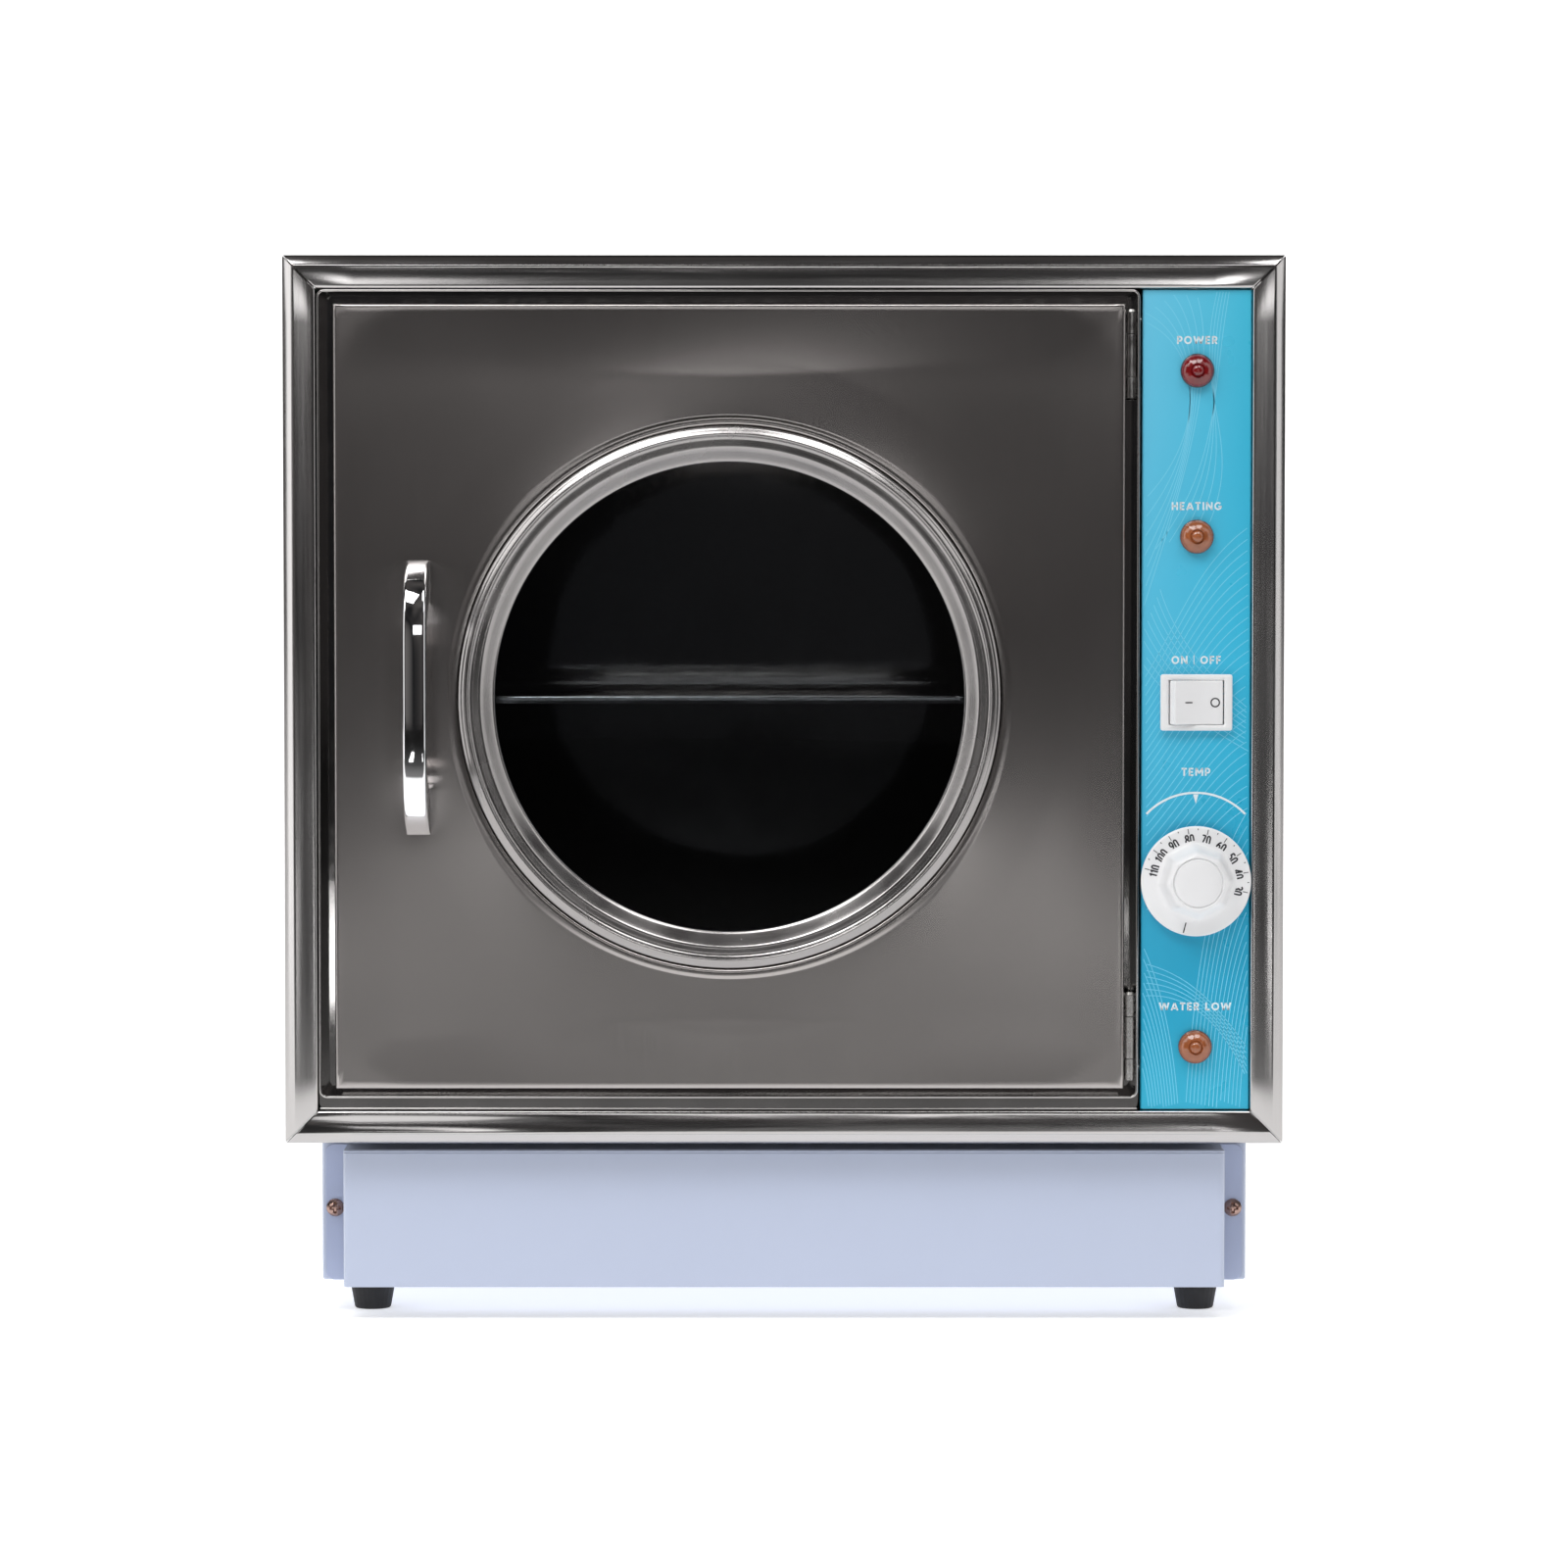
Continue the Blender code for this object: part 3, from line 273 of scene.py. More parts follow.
def make_materials():
    """Every material but the floor's, by name."""
    found = {
        "door_steel": brushed((0.42, 0.395, 0.385), 0.25, (1900, 1900, 38), 0.0008, 0.85,
                              relief=0.00000012, vary=0.35),
        "case_steel": brushed((0.52, 0.50, 0.49), 0.3, (1500, 1500, 16), 0.0006, 0.0),
        "rail_steel_x": brushed((0.5, 0.485, 0.48), 0.15, (14, 900, 900), 0.00012, 0.2, (9, 150, 150)),
        "rail_steel_z": brushed((0.5, 0.485, 0.48), 0.17, (900, 900, 14), 0.00008, 0.2, (150, 150, 9)),
        # The ring's steel colour is darker than the door's: painted shade on the pressed ring.
        "ring_steel": ring_steel(),
        "jamb_steel": polished((0.5, 0.485, 0.475), 0.05, 0.0003),
        "tank_steel": polished((0.45, 0.44, 0.43), 0.07, 0.0002),
        "shelf_steel": polished((0.62, 0.61, 0.6), 0.12, 0.0001, (20, 900, 900)),
        "hinge_steel": polished((0.5, 0.49, 0.48), 0.2, 0.0001),
        "chrome": polished((0.86, 0.86, 0.87), 0.035, 0.00005),
        "zinc": polished((0.55, 0.54, 0.52), 0.34, 0.0001),
        "brass": polished((0.78, 0.58, 0.30), 0.26, 0.0001),
        "copper": polished((0.42, 0.28, 0.24), 0.26, 0.0001),
        "paint": cover_paint((0.51, 0.57, 0.73)),
        # A darker copy of the base paint for the cover's flange plate: painted shade.
        "flange_paint_with_painted_shade": cover_paint((0.40, 0.46, 0.65)),
        "panel_print": panel_print(),
        "white_plastic": plastic((0.88, 0.88, 0.89), 0.34),
        "lamp_body": plastic((0.7, 0.68, 0.62), 0.4),
        "black_plastic": plastic((0.022, 0.022, 0.024), 0.42, 0.00004),
        "rubber": plastic((0.016, 0.016, 0.018), 0.62, 0.00006, 1100),
        "silicone": plastic((0.5, 0.5, 0.49), 0.5, 0.00003),
        "glass_fibre": plastic((0.62, 0.55, 0.36), 0.95, 0.0006, 320),
        # Glass darkened by a grey transmission colour: painted shade over the chamber behind it.
        "tinted_glass": glass(),
        "red_lens": lens((0.26, 0.008, 0.01)),
        # A darker copy of the red lens colour for the lens collar: painted shade.
        "red_rim": lens((0.07, 0.004, 0.006)),
        "amber_lens": lens((0.44, 0.13, 0.045)),
        # A darker copy of the amber lens colour for the lens collar: painted shade.
        "amber_rim": lens((0.2, 0.055, 0.02)),
        "white_ink": plastic((0.78, 0.88, 0.92), 0.4),
        "line_ink": plastic((0.19, 0.66, 0.88), 0.35),
        "black_ink": plastic((0.03, 0.03, 0.035), 0.4),
    }
    for name, s in found.items():
        s.material.name = name
    return {name: s.material for name, s in found.items()}


MAT = make_materials()

# The CAD nodes that show their own meshes, by finish
FINISHES = {
    "case_steel": ["outer_case", "rear_panel"],
    "jamb_steel": ["chamber_liner", "door_liner", "window_retainer"],
    "tank_steel": ["water_tank", "floor_tray"],
    "shelf_steel": ["towel_shelf", "shelf_rail_left", "shelf_rail_right"],
    "hinge_steel": ["hinge_lower_door_leaf", "hinge_lower_frame_leaf", "hinge_upper_door_leaf",
                    "hinge_upper_frame_leaf"],
    "zinc": ["case_floor", "heating_element", "hinge_lower_pin", "hinge_upper_pin", "handle_screw_lower",
             "handle_screw_upper", "thermostat_spindle"],
    "brass": ["drain_tap_body", "drain_tap_lever"],
    "copper": ["sensor_probe", "sensor_capillary", "drain_pipe"],
    "paint": ["base_box"],
    "panel_print": ["control_panel"],
    "white_plastic": ["switch_housing", "float_stem", "water_float"],
    "lamp_body": ["water_lamp_body", "heating_lamp_body", "power_lamp_body"],
    "black_plastic": ["catch_magnet", "thermostat_body", "mains_inlet"],
    "rubber": ["foot_front_left", "foot_front_right", "foot_rear_left", "foot_rear_right", "window_gasket"],
    "silicone": ["door_seal"],
    "glass_fibre": ["insulation_blanket", "door_insulation"],
}

CAD_SHARP = 32  # degrees between faces from which a CAD edge is drawn sharp

for finish, names in FINISHES.items():
    for name in names:
        mesh = NODES[name].data
        mesh.materials.clear()
        mesh.materials.append(MAT[finish])
        mesh.shade_smooth()
        mesh.set_sharp_from_angle(angle=math.radians(CAD_SHARP))


# Mesh pieces


def piece(name, bm, finish, body, sharp=35, replaces=()):
    """Makes an object of bm that rides on a CAD body and wears the script's material named by finish."""
    bmesh.ops.recalc_face_normals(bm, faces=bm.faces)
    mesh = bpy.data.meshes.new(name)
    bm.to_mesh(mesh)
    bm.free()
    mesh.materials.append(MAT[finish])
    mesh.shade_smooth()
    mesh.set_sharp_from_angle(angle=math.radians(sharp))
    obj = add_object(name, mesh)
    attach(obj, body)
    if replaces:
        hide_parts(*replaces)
    return obj


def add_object(name, data):
    """Puts a mesh, a light or a camera in the scene."""
    obj = bpy.data.objects.new(name, data)
    bpy.context.scene.collection.objects.link(obj)
    return obj


def join_loops(bm, loops):
    """Joins each loop of vertices to the next with four-sided faces."""
    for a, b in zip(loops, loops[1:]):
        for i in range(len(a)):
            j = (i + 1) % len(a)
            bm.faces.new((a[i], a[j], b[j], b[i]))


def torus_mesh(rings):
    """A closed mesh of equal closed loops, each joined to the next and the last to the first."""
    bm = bmesh.new()
    loops = [[bm.verts.new(p) for p in ring] for ring in rings]
    join_loops(bm, loops + loops[:1])
    return bm


def lofted(sections):
    """A closed mesh of equal closed loops, each joined to the next, with the first and the last filled."""
    bm = bmesh.new()
    loops = [[bm.verts.new(p) for p in section] for section in sections]
    bm.faces.new(loops[0])
    bm.faces.new(loops[-1])
    join_loops(bm, loops)
    return bm


def rounded_loop(half_x, half_z, radius, per_corner=6):
    """A rounded rectangle about the origin."""
    loop = []
    for x, z, start in ((1, 1, 0), (-1, 1, 90), (-1, -1, 180), (1, -1, 270)):
        loop += arc((x * (half_x - radius), z * (half_z - radius)), radius, start, start + 90, per_corner)
    return loop


def turned(profile, centre, axis, segments):
    """A (radius, height) profile turned about an axis. One that starts and ends at radius 0 is solid."""
    along = {"X": Vector((1, 0, 0)), "Y": Vector((0, 1, 0))}[axis]
    side = {"X": Vector((0, 1, 0)), "Y": Vector((1, 0, 0))}[axis]
    other = along.cross(side)
    bm = bmesh.new()
    rings = []
    for radius, height in profile:
        foot = centre + along * height
        if radius == 0:
            rings.append([bm.verts.new(foot)] * segments)
            continue
        angles = [2 * math.pi * i / segments for i in range(segments)]
        spots = [foot + (side * math.cos(a) + other * math.sin(a)) * radius for a in angles]
        rings.append([bm.verts.new(spot) for spot in spots])
    if profile[0][0] > 0:
        rings.append(rings[0])
    for a, b in zip(rings, rings[1:]):
        for i in range(segments):
            j = (i + 1) % segments
            corners = list(dict.fromkeys((a[i], a[j], b[j], b[i])))
            if len(corners) > 2:
                bm.faces.new(corners)
    return bm


def arc(centre, radius, start, stop, steps):
    """Points on an arc, in degrees."""
    angles = [math.radians(start + (stop - start) * i / steps) for i in range(steps + 1)]
    return [(centre[0] + radius * math.cos(a), centre[1] + radius * math.sin(a)) for a in angles]


def scaled(points):
    """Pairs in millimetres, in metres."""
    return [(a * MM, b * MM) for a, b in points]


def add_block(bm, low, high):
    """Adds a box between two corners."""
    size = Vector(high) - Vector(low)
    middle = (Vector(high) + Vector(low)) / 2
    bmesh.ops.create_cube(bm, size=1.0, matrix=Matrix.Translation(middle) @ Matrix.Diagonal((*size, 1.0)))


def add_mesh(bm, other):
    """Moves one mesh's geometry into another."""
    mesh = bpy.data.meshes.new("spare")
    other.to_mesh(mesh)
    other.free()
    bm.from_mesh(mesh)
    bpy.data.meshes.remove(mesh)


def soften(obj, width, angle, segments):
    """Rounds an object's edges with a bevel, after joining its doubled corners."""
    weld = obj.modifiers.new("weld", "WELD")
    weld.merge_threshold = 1e-5
    bevel = obj.modifiers.new("soften", "BEVEL")
    bevel.width = width
    bevel.segments = segments
    bevel.limit_method = "ANGLE"
    bevel.angle_limit = math.radians(angle)
    bevel.harden_normals = True


# Front frame

RAIL_WIDTH = 15.0 * MM
RAIL_DEPTH = 18.0 * MM
MITRE_GAP = 0.3 * MM


def rail_profile(hollow):
    """A rail's folded section as (outwards from its inner lip, depth), in millimetres.

    Its face leans towards the opening, and hollow says how far the face is pressed in along its middle.
    """
    lean = 0.55
    lip = [(0.0, 9.0), (0.0, 1.5 + lean), (0.1, 1.0 + lean), (0.35, 0.6 + lean), (0.75, 0.3 + lean),
           (1.3, 0.12 + lean), (2.0, 0.02 + lean)]
    shares = [i / 8 for i in range(1, 9)]
    face = [(2.0 + 8.2 * t, lean * (1 - t) + (hollow - 0.16) * math.sin(math.pi * t)) for t in shares]
    crease = [(10.45, 0.12), (10.6, 0.38), (10.75, 0.5)]
    band = [(11.4, 0.95), (12.2, 1.53), (13.0, 2.16), (13.8, 2.86), (14.4, 3.45), (14.75, 3.9), (14.95, 4.5)]
    side = [(15.0, 5.0), (15.0, 17.0), (14.85, 17.6), (14.4, 18.0), (2.0, 18.0)]
    inside = [(2.0, 16.8), (13.8, 16.8), (13.8, 4.8), (13.0, 3.5), (11.6, 2.4), (10.4, 1.6), (6.0, 1.3),
              (1.9, 1.9), (1.2, 2.5), (1.2, 9.0)]
    return lip + face + crease + band + side + inside


def frame_rails():
    """The four mitred rails. The bottom one's face is pressed in over the left part of its length."""
    top, bottom = Span("frame_rail_top"), Span("frame_rail_bottom")
    left, right = Span("frame_rail_left"), Span("frame_rail_right")
    front = top.high.y - RAIL_DEPTH
    low = Vector((left.low.x + RAIL_WIDTH, 0, bottom.low.z + RAIL_WIDTH))
    high = Vector((right.high.x - RAIL_WIDTH, 0, top.high.z - RAIL_WIDTH))
    sides = {
        "bottom": ((low.x, low.z), (high.x, low.z), (0, -1), "rail_steel_x"),
        "right": ((high.x, low.z), (high.x, high.z), (1, 0), "rail_steel_z"),
        "top": ((high.x, high.z), (low.x, high.z), (0, 1), "rail_steel_x"),
        "left": ((low.x, high.z), (low.x, low.z), (-1, 0), "rail_steel_z"),
    }
    mitre = ((0.0, 0.45), (0.25, 0.1), (0.8, 0.0))  # back from the mitre, and turned in there, in millimetres
    steps = 24
    pressed, pressed_share = 0.38, 0.42  # depth in millimetres, and share of the length
    for side, (start, end, out, finish) in sides.items():
        start, end, out = Vector(start), Vector(end), Vector(out)
        run = (end - start).normalized()
        stations = [(start, -1, back, turned_in, 0.0) for back, turned_in in mitre]
        stations += [(start.lerp(end, i / steps), 0, 0.0, 0.0, i / steps) for i in range(1, steps)]
        stations += [(end, 1, back, turned_in, 1.0) for back, turned_in in reversed(mitre)]
        sections = []
        for middle, way, back, turned_in, share in stations:
            fade = 1 + math.cos(math.pi * min(1.0, share / pressed_share))
            section = []
            for u, depth in scaled(rail_profile(pressed * fade if side == "bottom" else 0.0)):
                p = middle + out * u + run * way * (u - MITRE_GAP - back * MM)
                section.append((p.x, front + min(depth + turned_in * MM, RAIL_DEPTH), p.y))
            sections.append(section)
        piece(f"rail_{side}", lofted(sections), finish, "cabinet", 45,
              [f"frame_rail_{side}"])


def recess_lip():
    """The rolled edge round the door's recess, and a second one along the bottom of its sill."""
    liner = Span("chamber_liner")
    low = Vector((liner.low.x + 0.45 * MM, liner.low.z + 5.6 * MM))
    high = Vector((liner.high.x - 0.5 * MM, liner.high.z - 0.5 * MM))
    middle, half = (low + high) / 2, (high - low) / 2
    depth, radius = liner.low.y + 0.1 * MM, 0.55 * MM
    rings = []
    for k in range(10):
        a = math.radians(36 * k)
        grow = radius * math.cos(a)
        loop = rounded_loop(half.x + grow, half.y + grow, 3.0 * MM + grow)
        rings.append([(middle.x + x, depth + radius * math.sin(a), middle.y + z) for x, z in loop])
    piece("recess_lip", torus_mesh(rings), "jamb_steel", "cabinet", 60)
    profile = [(0, -half.x), (0.4 * MM, -half.x), (0.4 * MM, half.x), (0, half.x)]
    centre = Vector((middle.x, depth, liner.low.z + 0.5 * MM))
    piece("sill_lip", turned(profile, centre, "X", 12), "jamb_steel", "cabinet", 60)


# Door

DOOR_DEPTH = 16.0 * MM
RING_RADIUS = 124.5 * MM  # where the flat sheet ends and the pressing round the window starts
DOOR_SHEET = 1.0 * MM
DOOR = Span("door_skin")


def on_door(p, depth):
    """The place of a point across the door, from its centre, at a depth behind its frontmost plane."""
    return Vector((DOOR.mid.x + p[0], DOOR.high.y - DOOR_DEPTH + depth, DOOR.mid.z + p[1]))


def door_sheet():
    """The door's outer skin: a brushed sheet with rolled edges and a round mouth for its window."""
    half_x, half_z = DOOR.size.x / 2, DOOR.size.z / 2
    roll = 1.8 * MM
    flat_x, flat_z = half_x - roll, half_z - roll
    grip = Span("door_handle")
    feet = [Vector((grip.mid.x - DOOR.mid.x, side * (grip.size.z / 2 - 12 * MM))) for side in (-1, 1)]
    fall_length, settle_length, dent_radius, lean_width = 26 * MM, 30 * MM, 11 * MM, 34 * MM

    def sag(p, angle, reach):
        """How far the sheet lies back: it falls away from the pressing, and the handle dents it."""
        away = (p.length - RING_RADIUS) / fall_length
        inside = min(1.0, (reach - p.length) / settle_length)
        fall = -0.8 * math.exp(-away) - 0.5 * math.cos(4 * angle + 0.3) * away * math.exp(-away)
        rolls = 0.1 * math.sin(27 * p.x + 13 * p.y + 0.7) + 0.12 * math.sin(21 * p.y - 17 * p.x + 2.1)
        dents = sum(math.exp(-((p - foot).length / dent_radius) ** 2) for foot in feet)
        loose = fall + (rolls + 0.22 * dents) * min(1.0, away)
        sides = ((flat_x, p.x), (flat_z, p.y))
        lean = sum(max(0.0, 1 - (flat - abs(q)) / lean_width) ** 2 for flat, q in sides)
        return (1.0 + loose * inside - 0.5 * min(lean, 1.0)) * MM

    per_side = 96
    corners = [math.atan2(s * half_z, t * half_x) for t, s in ((1, -1), (1, 1), (-1, 1), (-1, -1))]
    angles = []
    for a, b in zip(corners, corners[1:] + corners[:1]):
        span = (b - a) % (2 * math.pi)
        angles += [a + span * i / per_side for i in range(per_side)]

    # radius and depth in millimetres, where the sheet turns in round the window
    mouth = [(121.1, 1.6), (121.25, 0.8), (121.6, 0.3), (122.2, 0.1), (123.2, 0.03), (124.5, 0.0)]
    rear_mouth = [(124.5, 1.0), (122.0, 1.2), (121.1, 2.0)]
    rows, rear_rows, roll_steps = 44, 12, 6
    shell = []
    for angle in angles:
        ray = Vector((math.cos(angle), math.sin(angle)))
        reach = min(flat_x / max(abs(ray.x), 1e-9), flat_z / max(abs(ray.y), 1e-9))
        edge = ray * reach
        edge_sag = sag(edge, angle, reach)
        loop = [on_door(ray * r * MM, d * MM) for r, d in mouth]
        for i in range(1, rows + 1):
            p = ray * (RING_RADIUS + (reach - RING_RADIUS) * (i / rows) ** 1.15)
            loop.append(on_door(p, sag(p, angle, reach)))
        for i in range(1, roll_steps + 1):
            turn = math.radians(90 * i / roll_steps)
            u, depth = roll * math.sin(turn), roll * (1 - math.cos(turn)) + edge_sag
            loop.append(on_door((edge.x * (flat_x + u) / flat_x, edge.y * (flat_z + u) / flat_z), depth))
        outer = (edge.x * half_x / flat_x, edge.y * half_z / flat_z)
        inner = (edge.x * (half_x - DOOR_SHEET) / flat_x, edge.y * (half_z - DOOR_SHEET) / flat_z)
        loop += [on_door(outer, DOOR_DEPTH - 0.3 * MM), on_door(inner, DOOR_DEPTH), on_door(inner, 3.2 * MM)]
        loop.append(on_door(edge * 0.995, edge_sag + DOOR_SHEET))
        for i in range(rear_rows, 0, -1):
            p = ray * (RING_RADIUS + (reach * 0.98 - RING_RADIUS) * i / rear_rows)
            loop.append(on_door(p, sag(p, angle, reach) + DOOR_SHEET))
        loop += [on_door(ray * r * MM, d * MM) for r, d in rear_mouth]
        shell.append(loop)
    piece("door_sheet", torus_mesh(shell), "door_steel", "door", 40, ["door_skin"])


def window_ring():
    """The ring pressed round the window: a stepped bead, and a flange that slopes in to the glass."""
    bead = [(120.9, 1.8), (120.85, 1.0), (120.75, 0.5), (120.6, 0.25), (119.15, -0.62), (119.0, -0.66),
            (118.85, -0.78), (117.45, -1.62), (117.2, -1.7), (116.9, -1.68), (116.6, -1.5), (116.3, -1.1),
            (116.0, -0.6), (115.6, -0.2), (115.2, 0.05), (114.8, 0.22), (114.3, 0.34)]
    flange = [(113.3, 0.36), (112.3, 0.38), (111.6, 0.48), (111.1, 0.7), (110.65, 1.05), (109.0, 2.73),
              (107.3, 4.47), (106.3, 5.45), (105.75, 5.95), (105.35, 6.2), (105.1, 6.3), (105.0, 6.4)]
    under = [(106.0, 6.25), (106.6, 6.0), (107.8, 5.1), (111.7, 1.9), (114.8, 1.4), (116.2, 0.7),
             (117.0, -0.7), (118.4, -0.3), (119.4, 0.3), (119.9, 1.2), (120.0, 1.8)]
    rings = []
    for r, d in bead + flange + under:
        rings.append([on_door(p, d * MM) for p in arc((0, 0), r * MM, 0, 359, 359)])
    piece("window_ring", torus_mesh(rings), "ring_steel", "door", 50)


def window():
    """The round pane with its bevelled edges, and the rubber lip in front of it."""
    box = Span("window_glass")
    radius, half = box.size.x / 2, box.size.y / 2
    edge = 0.6 * MM
    profile = [(0, -half), (radius * 0.4, -half), (radius * 0.75, -half), (radius - edge, -half),
               (radius, edge - half), (radius, half - edge), (radius - edge, half), (radius * 0.5, half),
               (0, half)]
    # The pane's grey transmission colour darkens the chamber behind it: painted shade.
    piece("window_pane", turned(profile, box.mid, "Y", 160), "tinted_glass", "door", 20,
          ["window_glass"])
    front, seat = Span("window_gasket").low.y / MM, box.low.y / MM
    lip = [(105.3, front + 0.1), (106.9, front - 0.25), (107.3, front + 0.6), (107.3, seat - 0.35),
           (105.0, seat - 0.35), (104.7, seat - 0.8)]
    centre = Vector((box.mid.x, 0, box.mid.z))
    piece("window_lip", turned(scaled(lip), centre, "Y", 160), "rubber", "door", 40)


def handle():
    """A bowed flat bar in bright chrome, standing on two flat ends."""
    box = Span("door_handle")
    width, rise, half = box.size.x, box.size.y, box.size.z / 2
    inner_half, inner_rise = 41.0 * MM, 21.0 * MM
    least, crown = 0.8 * MM, 0.4 * MM
    steps = 72

    def bow(z, span, peak):
        """The bow's height above the door at z."""
        return peak * max(0.0, 1 - abs(z / span) ** 5.4) ** 0.8

    sections = []
    for i in range(steps + 1):
        z_out = half * (2 * i / steps - 1)
        z_in = z_out * 0.965
        low = bow(z_in, inner_half, inner_rise)
        top = max(bow(z_out, half, rise), low + least)
        front_round = min(1.7 * MM, (top - low) * 0.45)
        back_round = front_round * 0.6
        corners = (  # centre across, centre height, radius, start, stop, crowned
            (width / 2 - front_round, top - front_round, front_round, 0, 90, True),
            (front_round - width / 2, top - front_round, front_round, 90, 180, True),
            (back_round - width / 2, low + back_round, back_round, 180, 270, False),
            (width / 2 - back_round, low + back_round, back_round, 270, 360, False),
        )
        section = []
        for across, height, radius, start, stop, crowned in corners:
            for u, h in arc((across, height), radius, start, stop, 5):
                raised = crown * (1 - (2 * u / width) ** 2) if crowned else 0.0
                share = min(1.0, max(0.0, (h - low) / (top - low)))
                z = z_in + (z_out - z_in) * share
                section.append((box.mid.x + u, box.high.y - h - raised, box.mid.z + z))
        sections.append(section)
    piece("handle_bow", lofted(sections), "chrome", "door", 50, ["door_handle"])


def shelf_hem():
    """The towel shelf's front edge, rolled into a round hem."""
    box = Span("towel_shelf")
    radius, half = 1.85 * MM, box.size.x / 2 - 0.4 * MM
    centre = Vector((box.mid.x, box.low.y + 1.8 * MM, box.low.z + 1.95 * MM))
    profile = [(0, -half), (radius * 0.8, -half), (radius, 0.4 * MM - half), (radius, half - 0.4 * MM)]
    profile += [(radius * 0.8, half), (0, half)]
    piece("shelf_hem", turned(profile, centre, "X", 24), "shelf_steel", "shelf", 40)


# Base

COVER_HALF = 198.0 * MM
COVER_ROUND = 2.4 * MM
COVER_SHEET = 1.0 * MM


def cover_outline(inset):
    """The cover's front wall seen from above, from its left rear edge round the front to its right one."""
    box = Span("base_cover")
    rear = box.high.y - COVER_SHEET - 0.1 * MM
    outline = [(inset - COVER_HALF, rear)]
    for x, start in ((COVER_ROUND - COVER_HALF, 180), (COVER_HALF - COVER_ROUND, 270)):
        outline += arc((x, box.low.y + COVER_ROUND), COVER_ROUND - inset, start, start + 90, 8)
    outline.append((COVER_HALF - inset, rear))
    return outline


def base_cover():
    """The base's front cover: a flanged plate, a wrapped front and a folded lid."""
    box = Span("base_cover")
    front_of_plate = box.high.y - COVER_SHEET
    half, height = box.size.x / 2, box.size.z
    rings = []
    for inset, depth in ((0.0, 0.9), (0.0, 0.3), (0.3, 0.0)):
        loop = rounded_loop(half - inset * MM, height / 2 - inset * MM, (4.0 - inset) * MM)
        rings.append([(x, front_of_plate + depth * MM, box.mid.z + z) for x, z in loop])
    for depth in (0.0, 0.9):
        loop = rounded_loop(COVER_HALF - 1.5 * MM, height / 2 - 1.5 * MM, 1.0 * MM)
        rings.append([(x, front_of_plate + depth * MM, box.mid.z + z) for x, z in loop])
    # The flange plate is painted darker than the rest of the cover: painted shade.
    piece("cover_plate", torus_mesh(rings), "flange_paint_with_painted_shade", "cabinet", 40)

    wall = cover_outline(0.0) + cover_outline(COVER_SHEET)[::-1]
    levels = (box.low.z, box.high.z - 1.6 * MM)
    piece("cover_wrap", lofted([[(x, y, z) for x, y in wall] for z in levels]), "paint", "cabinet",
          50, ["base_cover"])

    # inset, and distance below the top
    rows = ((0.35, 1.45), (0.05, 1.3), (0.0, 1.1), (0.0, 0.7), (0.25, 0.3), (0.7, 0.08), (1.2, 0.0))
    lid = [[(x, y, box.high.z - down * MM) for x, y in cover_outline(inset * MM)] for inset, down in rows]
    piece("cover_lid", lofted(lid), "paint", "cabinet", 50)


def cover_screws():
    """The cover's screws: a domed head with a cross-shaped recess, on a short shank."""
    rise, recess = 2.7, 1.3
    shank_radius, shank_length = 1.7, 11.5
    for side in ("left", "right"):
        box = Span(f"cover_screw_{side}")
        radius = box.size.x / 2 / MM
        rows = [0.15 + 0.22 * i for i in range(12)] + [3.0, 3.4, 3.7, 3.9, radius - 0.05, radius]

        def ring(r, depth_at):
            spots = [(x, depth_at(x, z), z) for x, z in arc((0, 0), r, 0, 355, 71)]
            return [Vector((box.mid.x, box.low.y, box.mid.z)) + Vector(spot) * MM for spot in spots]

        def dome(x, z):
            across, along = sorted((abs(x), abs(z)))
            cross = min(1.0, max(0.0, (0.75 - across) / 0.2)) * min(1.0, max(0.0, (2.5 - along) / 0.3))
            return rise * (math.hypot(x, z) / radius) ** 2.3 + recess * cross

        loops = [ring(r, dome) for r in rows]
        for depth in (rise, rise + shank_length):
            loops.append(ring(shank_radius, lambda x, z: depth))
        piece(f"cover_screw_{side}_head", lofted(loops), "copper", "cabinet", 30,
              [f"cover_screw_{side}"])


# Rear


def rear_details():
    """Panel screws, two columns of pressed louvres and a blank plate on the back."""
    panel = Span("rear_panel")
    back = panel.high.y
    head = scaled([(0, 1.9), (1.2, 1.85), (2.4, 1.5), (3.1, 0.9), (3.3, 0.1), (0, 0.1)])
    side, inset = 200 * MM, 8 * MM
    spots = [(x, z) for z in (panel.low.z + inset, panel.high.z - inset) for x in (-side, 0.0, side)]
    spots += [(x, panel.mid.z) for x in (-side, side)]
    bm = bmesh.new()
    for x, z in spots:
        add_mesh(bm, turned(head, Vector((x, back, z)), "Y", 24))
    piece("rear_screws", bm, "zinc", "cabinet", 50)

    hood = [(0.05, -3.0), (1.2, -2.6), (2.3, -1.6), (2.9, -0.2), (2.9, 0.4), (2.3, 0.5), (2.2, -0.1),
            (1.7, -1.0), (0.9, -1.8), (0.05, -2.1)]
    # distance across, and the share of the hood's section there
    ends = ((-31, 0.15), (-29.5, 0.7), (-27, 1.0), (27, 1.0), (29.5, 0.7), (31, 0.15))
    rows, first_row, pitch = 7, 50 * MM, 12 * MM
    bm = bmesh.new()
    for column in (-90 * MM, 90 * MM):
        for row in range(rows):
            z = panel.high.z - first_row - pitch * row
            sections = []
            for across, share in ends:
                x = column + across * MM
                sections.append([(x, back + d * share, z + h * share) for d, h in scaled(hood)])
            add_mesh(bm, lofted(sections))
    piece("rear_louvres", bm, "case_steel", "cabinet", 40)

    centre_x, centre_z = -100 * MM, 190 * MM
    rings = []
    for inset, depth in ((0.0, 0.05), (0.0, 0.35), (0.25, 0.5), (6.0, 0.5)):
        loop = rounded_loop((32 - inset) * MM, (19 - inset) * MM, max(2.5 - inset, 0.6) * MM)
        rings.append([(centre_x + x, back + depth * MM, centre_z + z) for x, z in loop])
    piece("rear_plate", lofted(rings), "zinc", "cabinet", 40)


# Controls


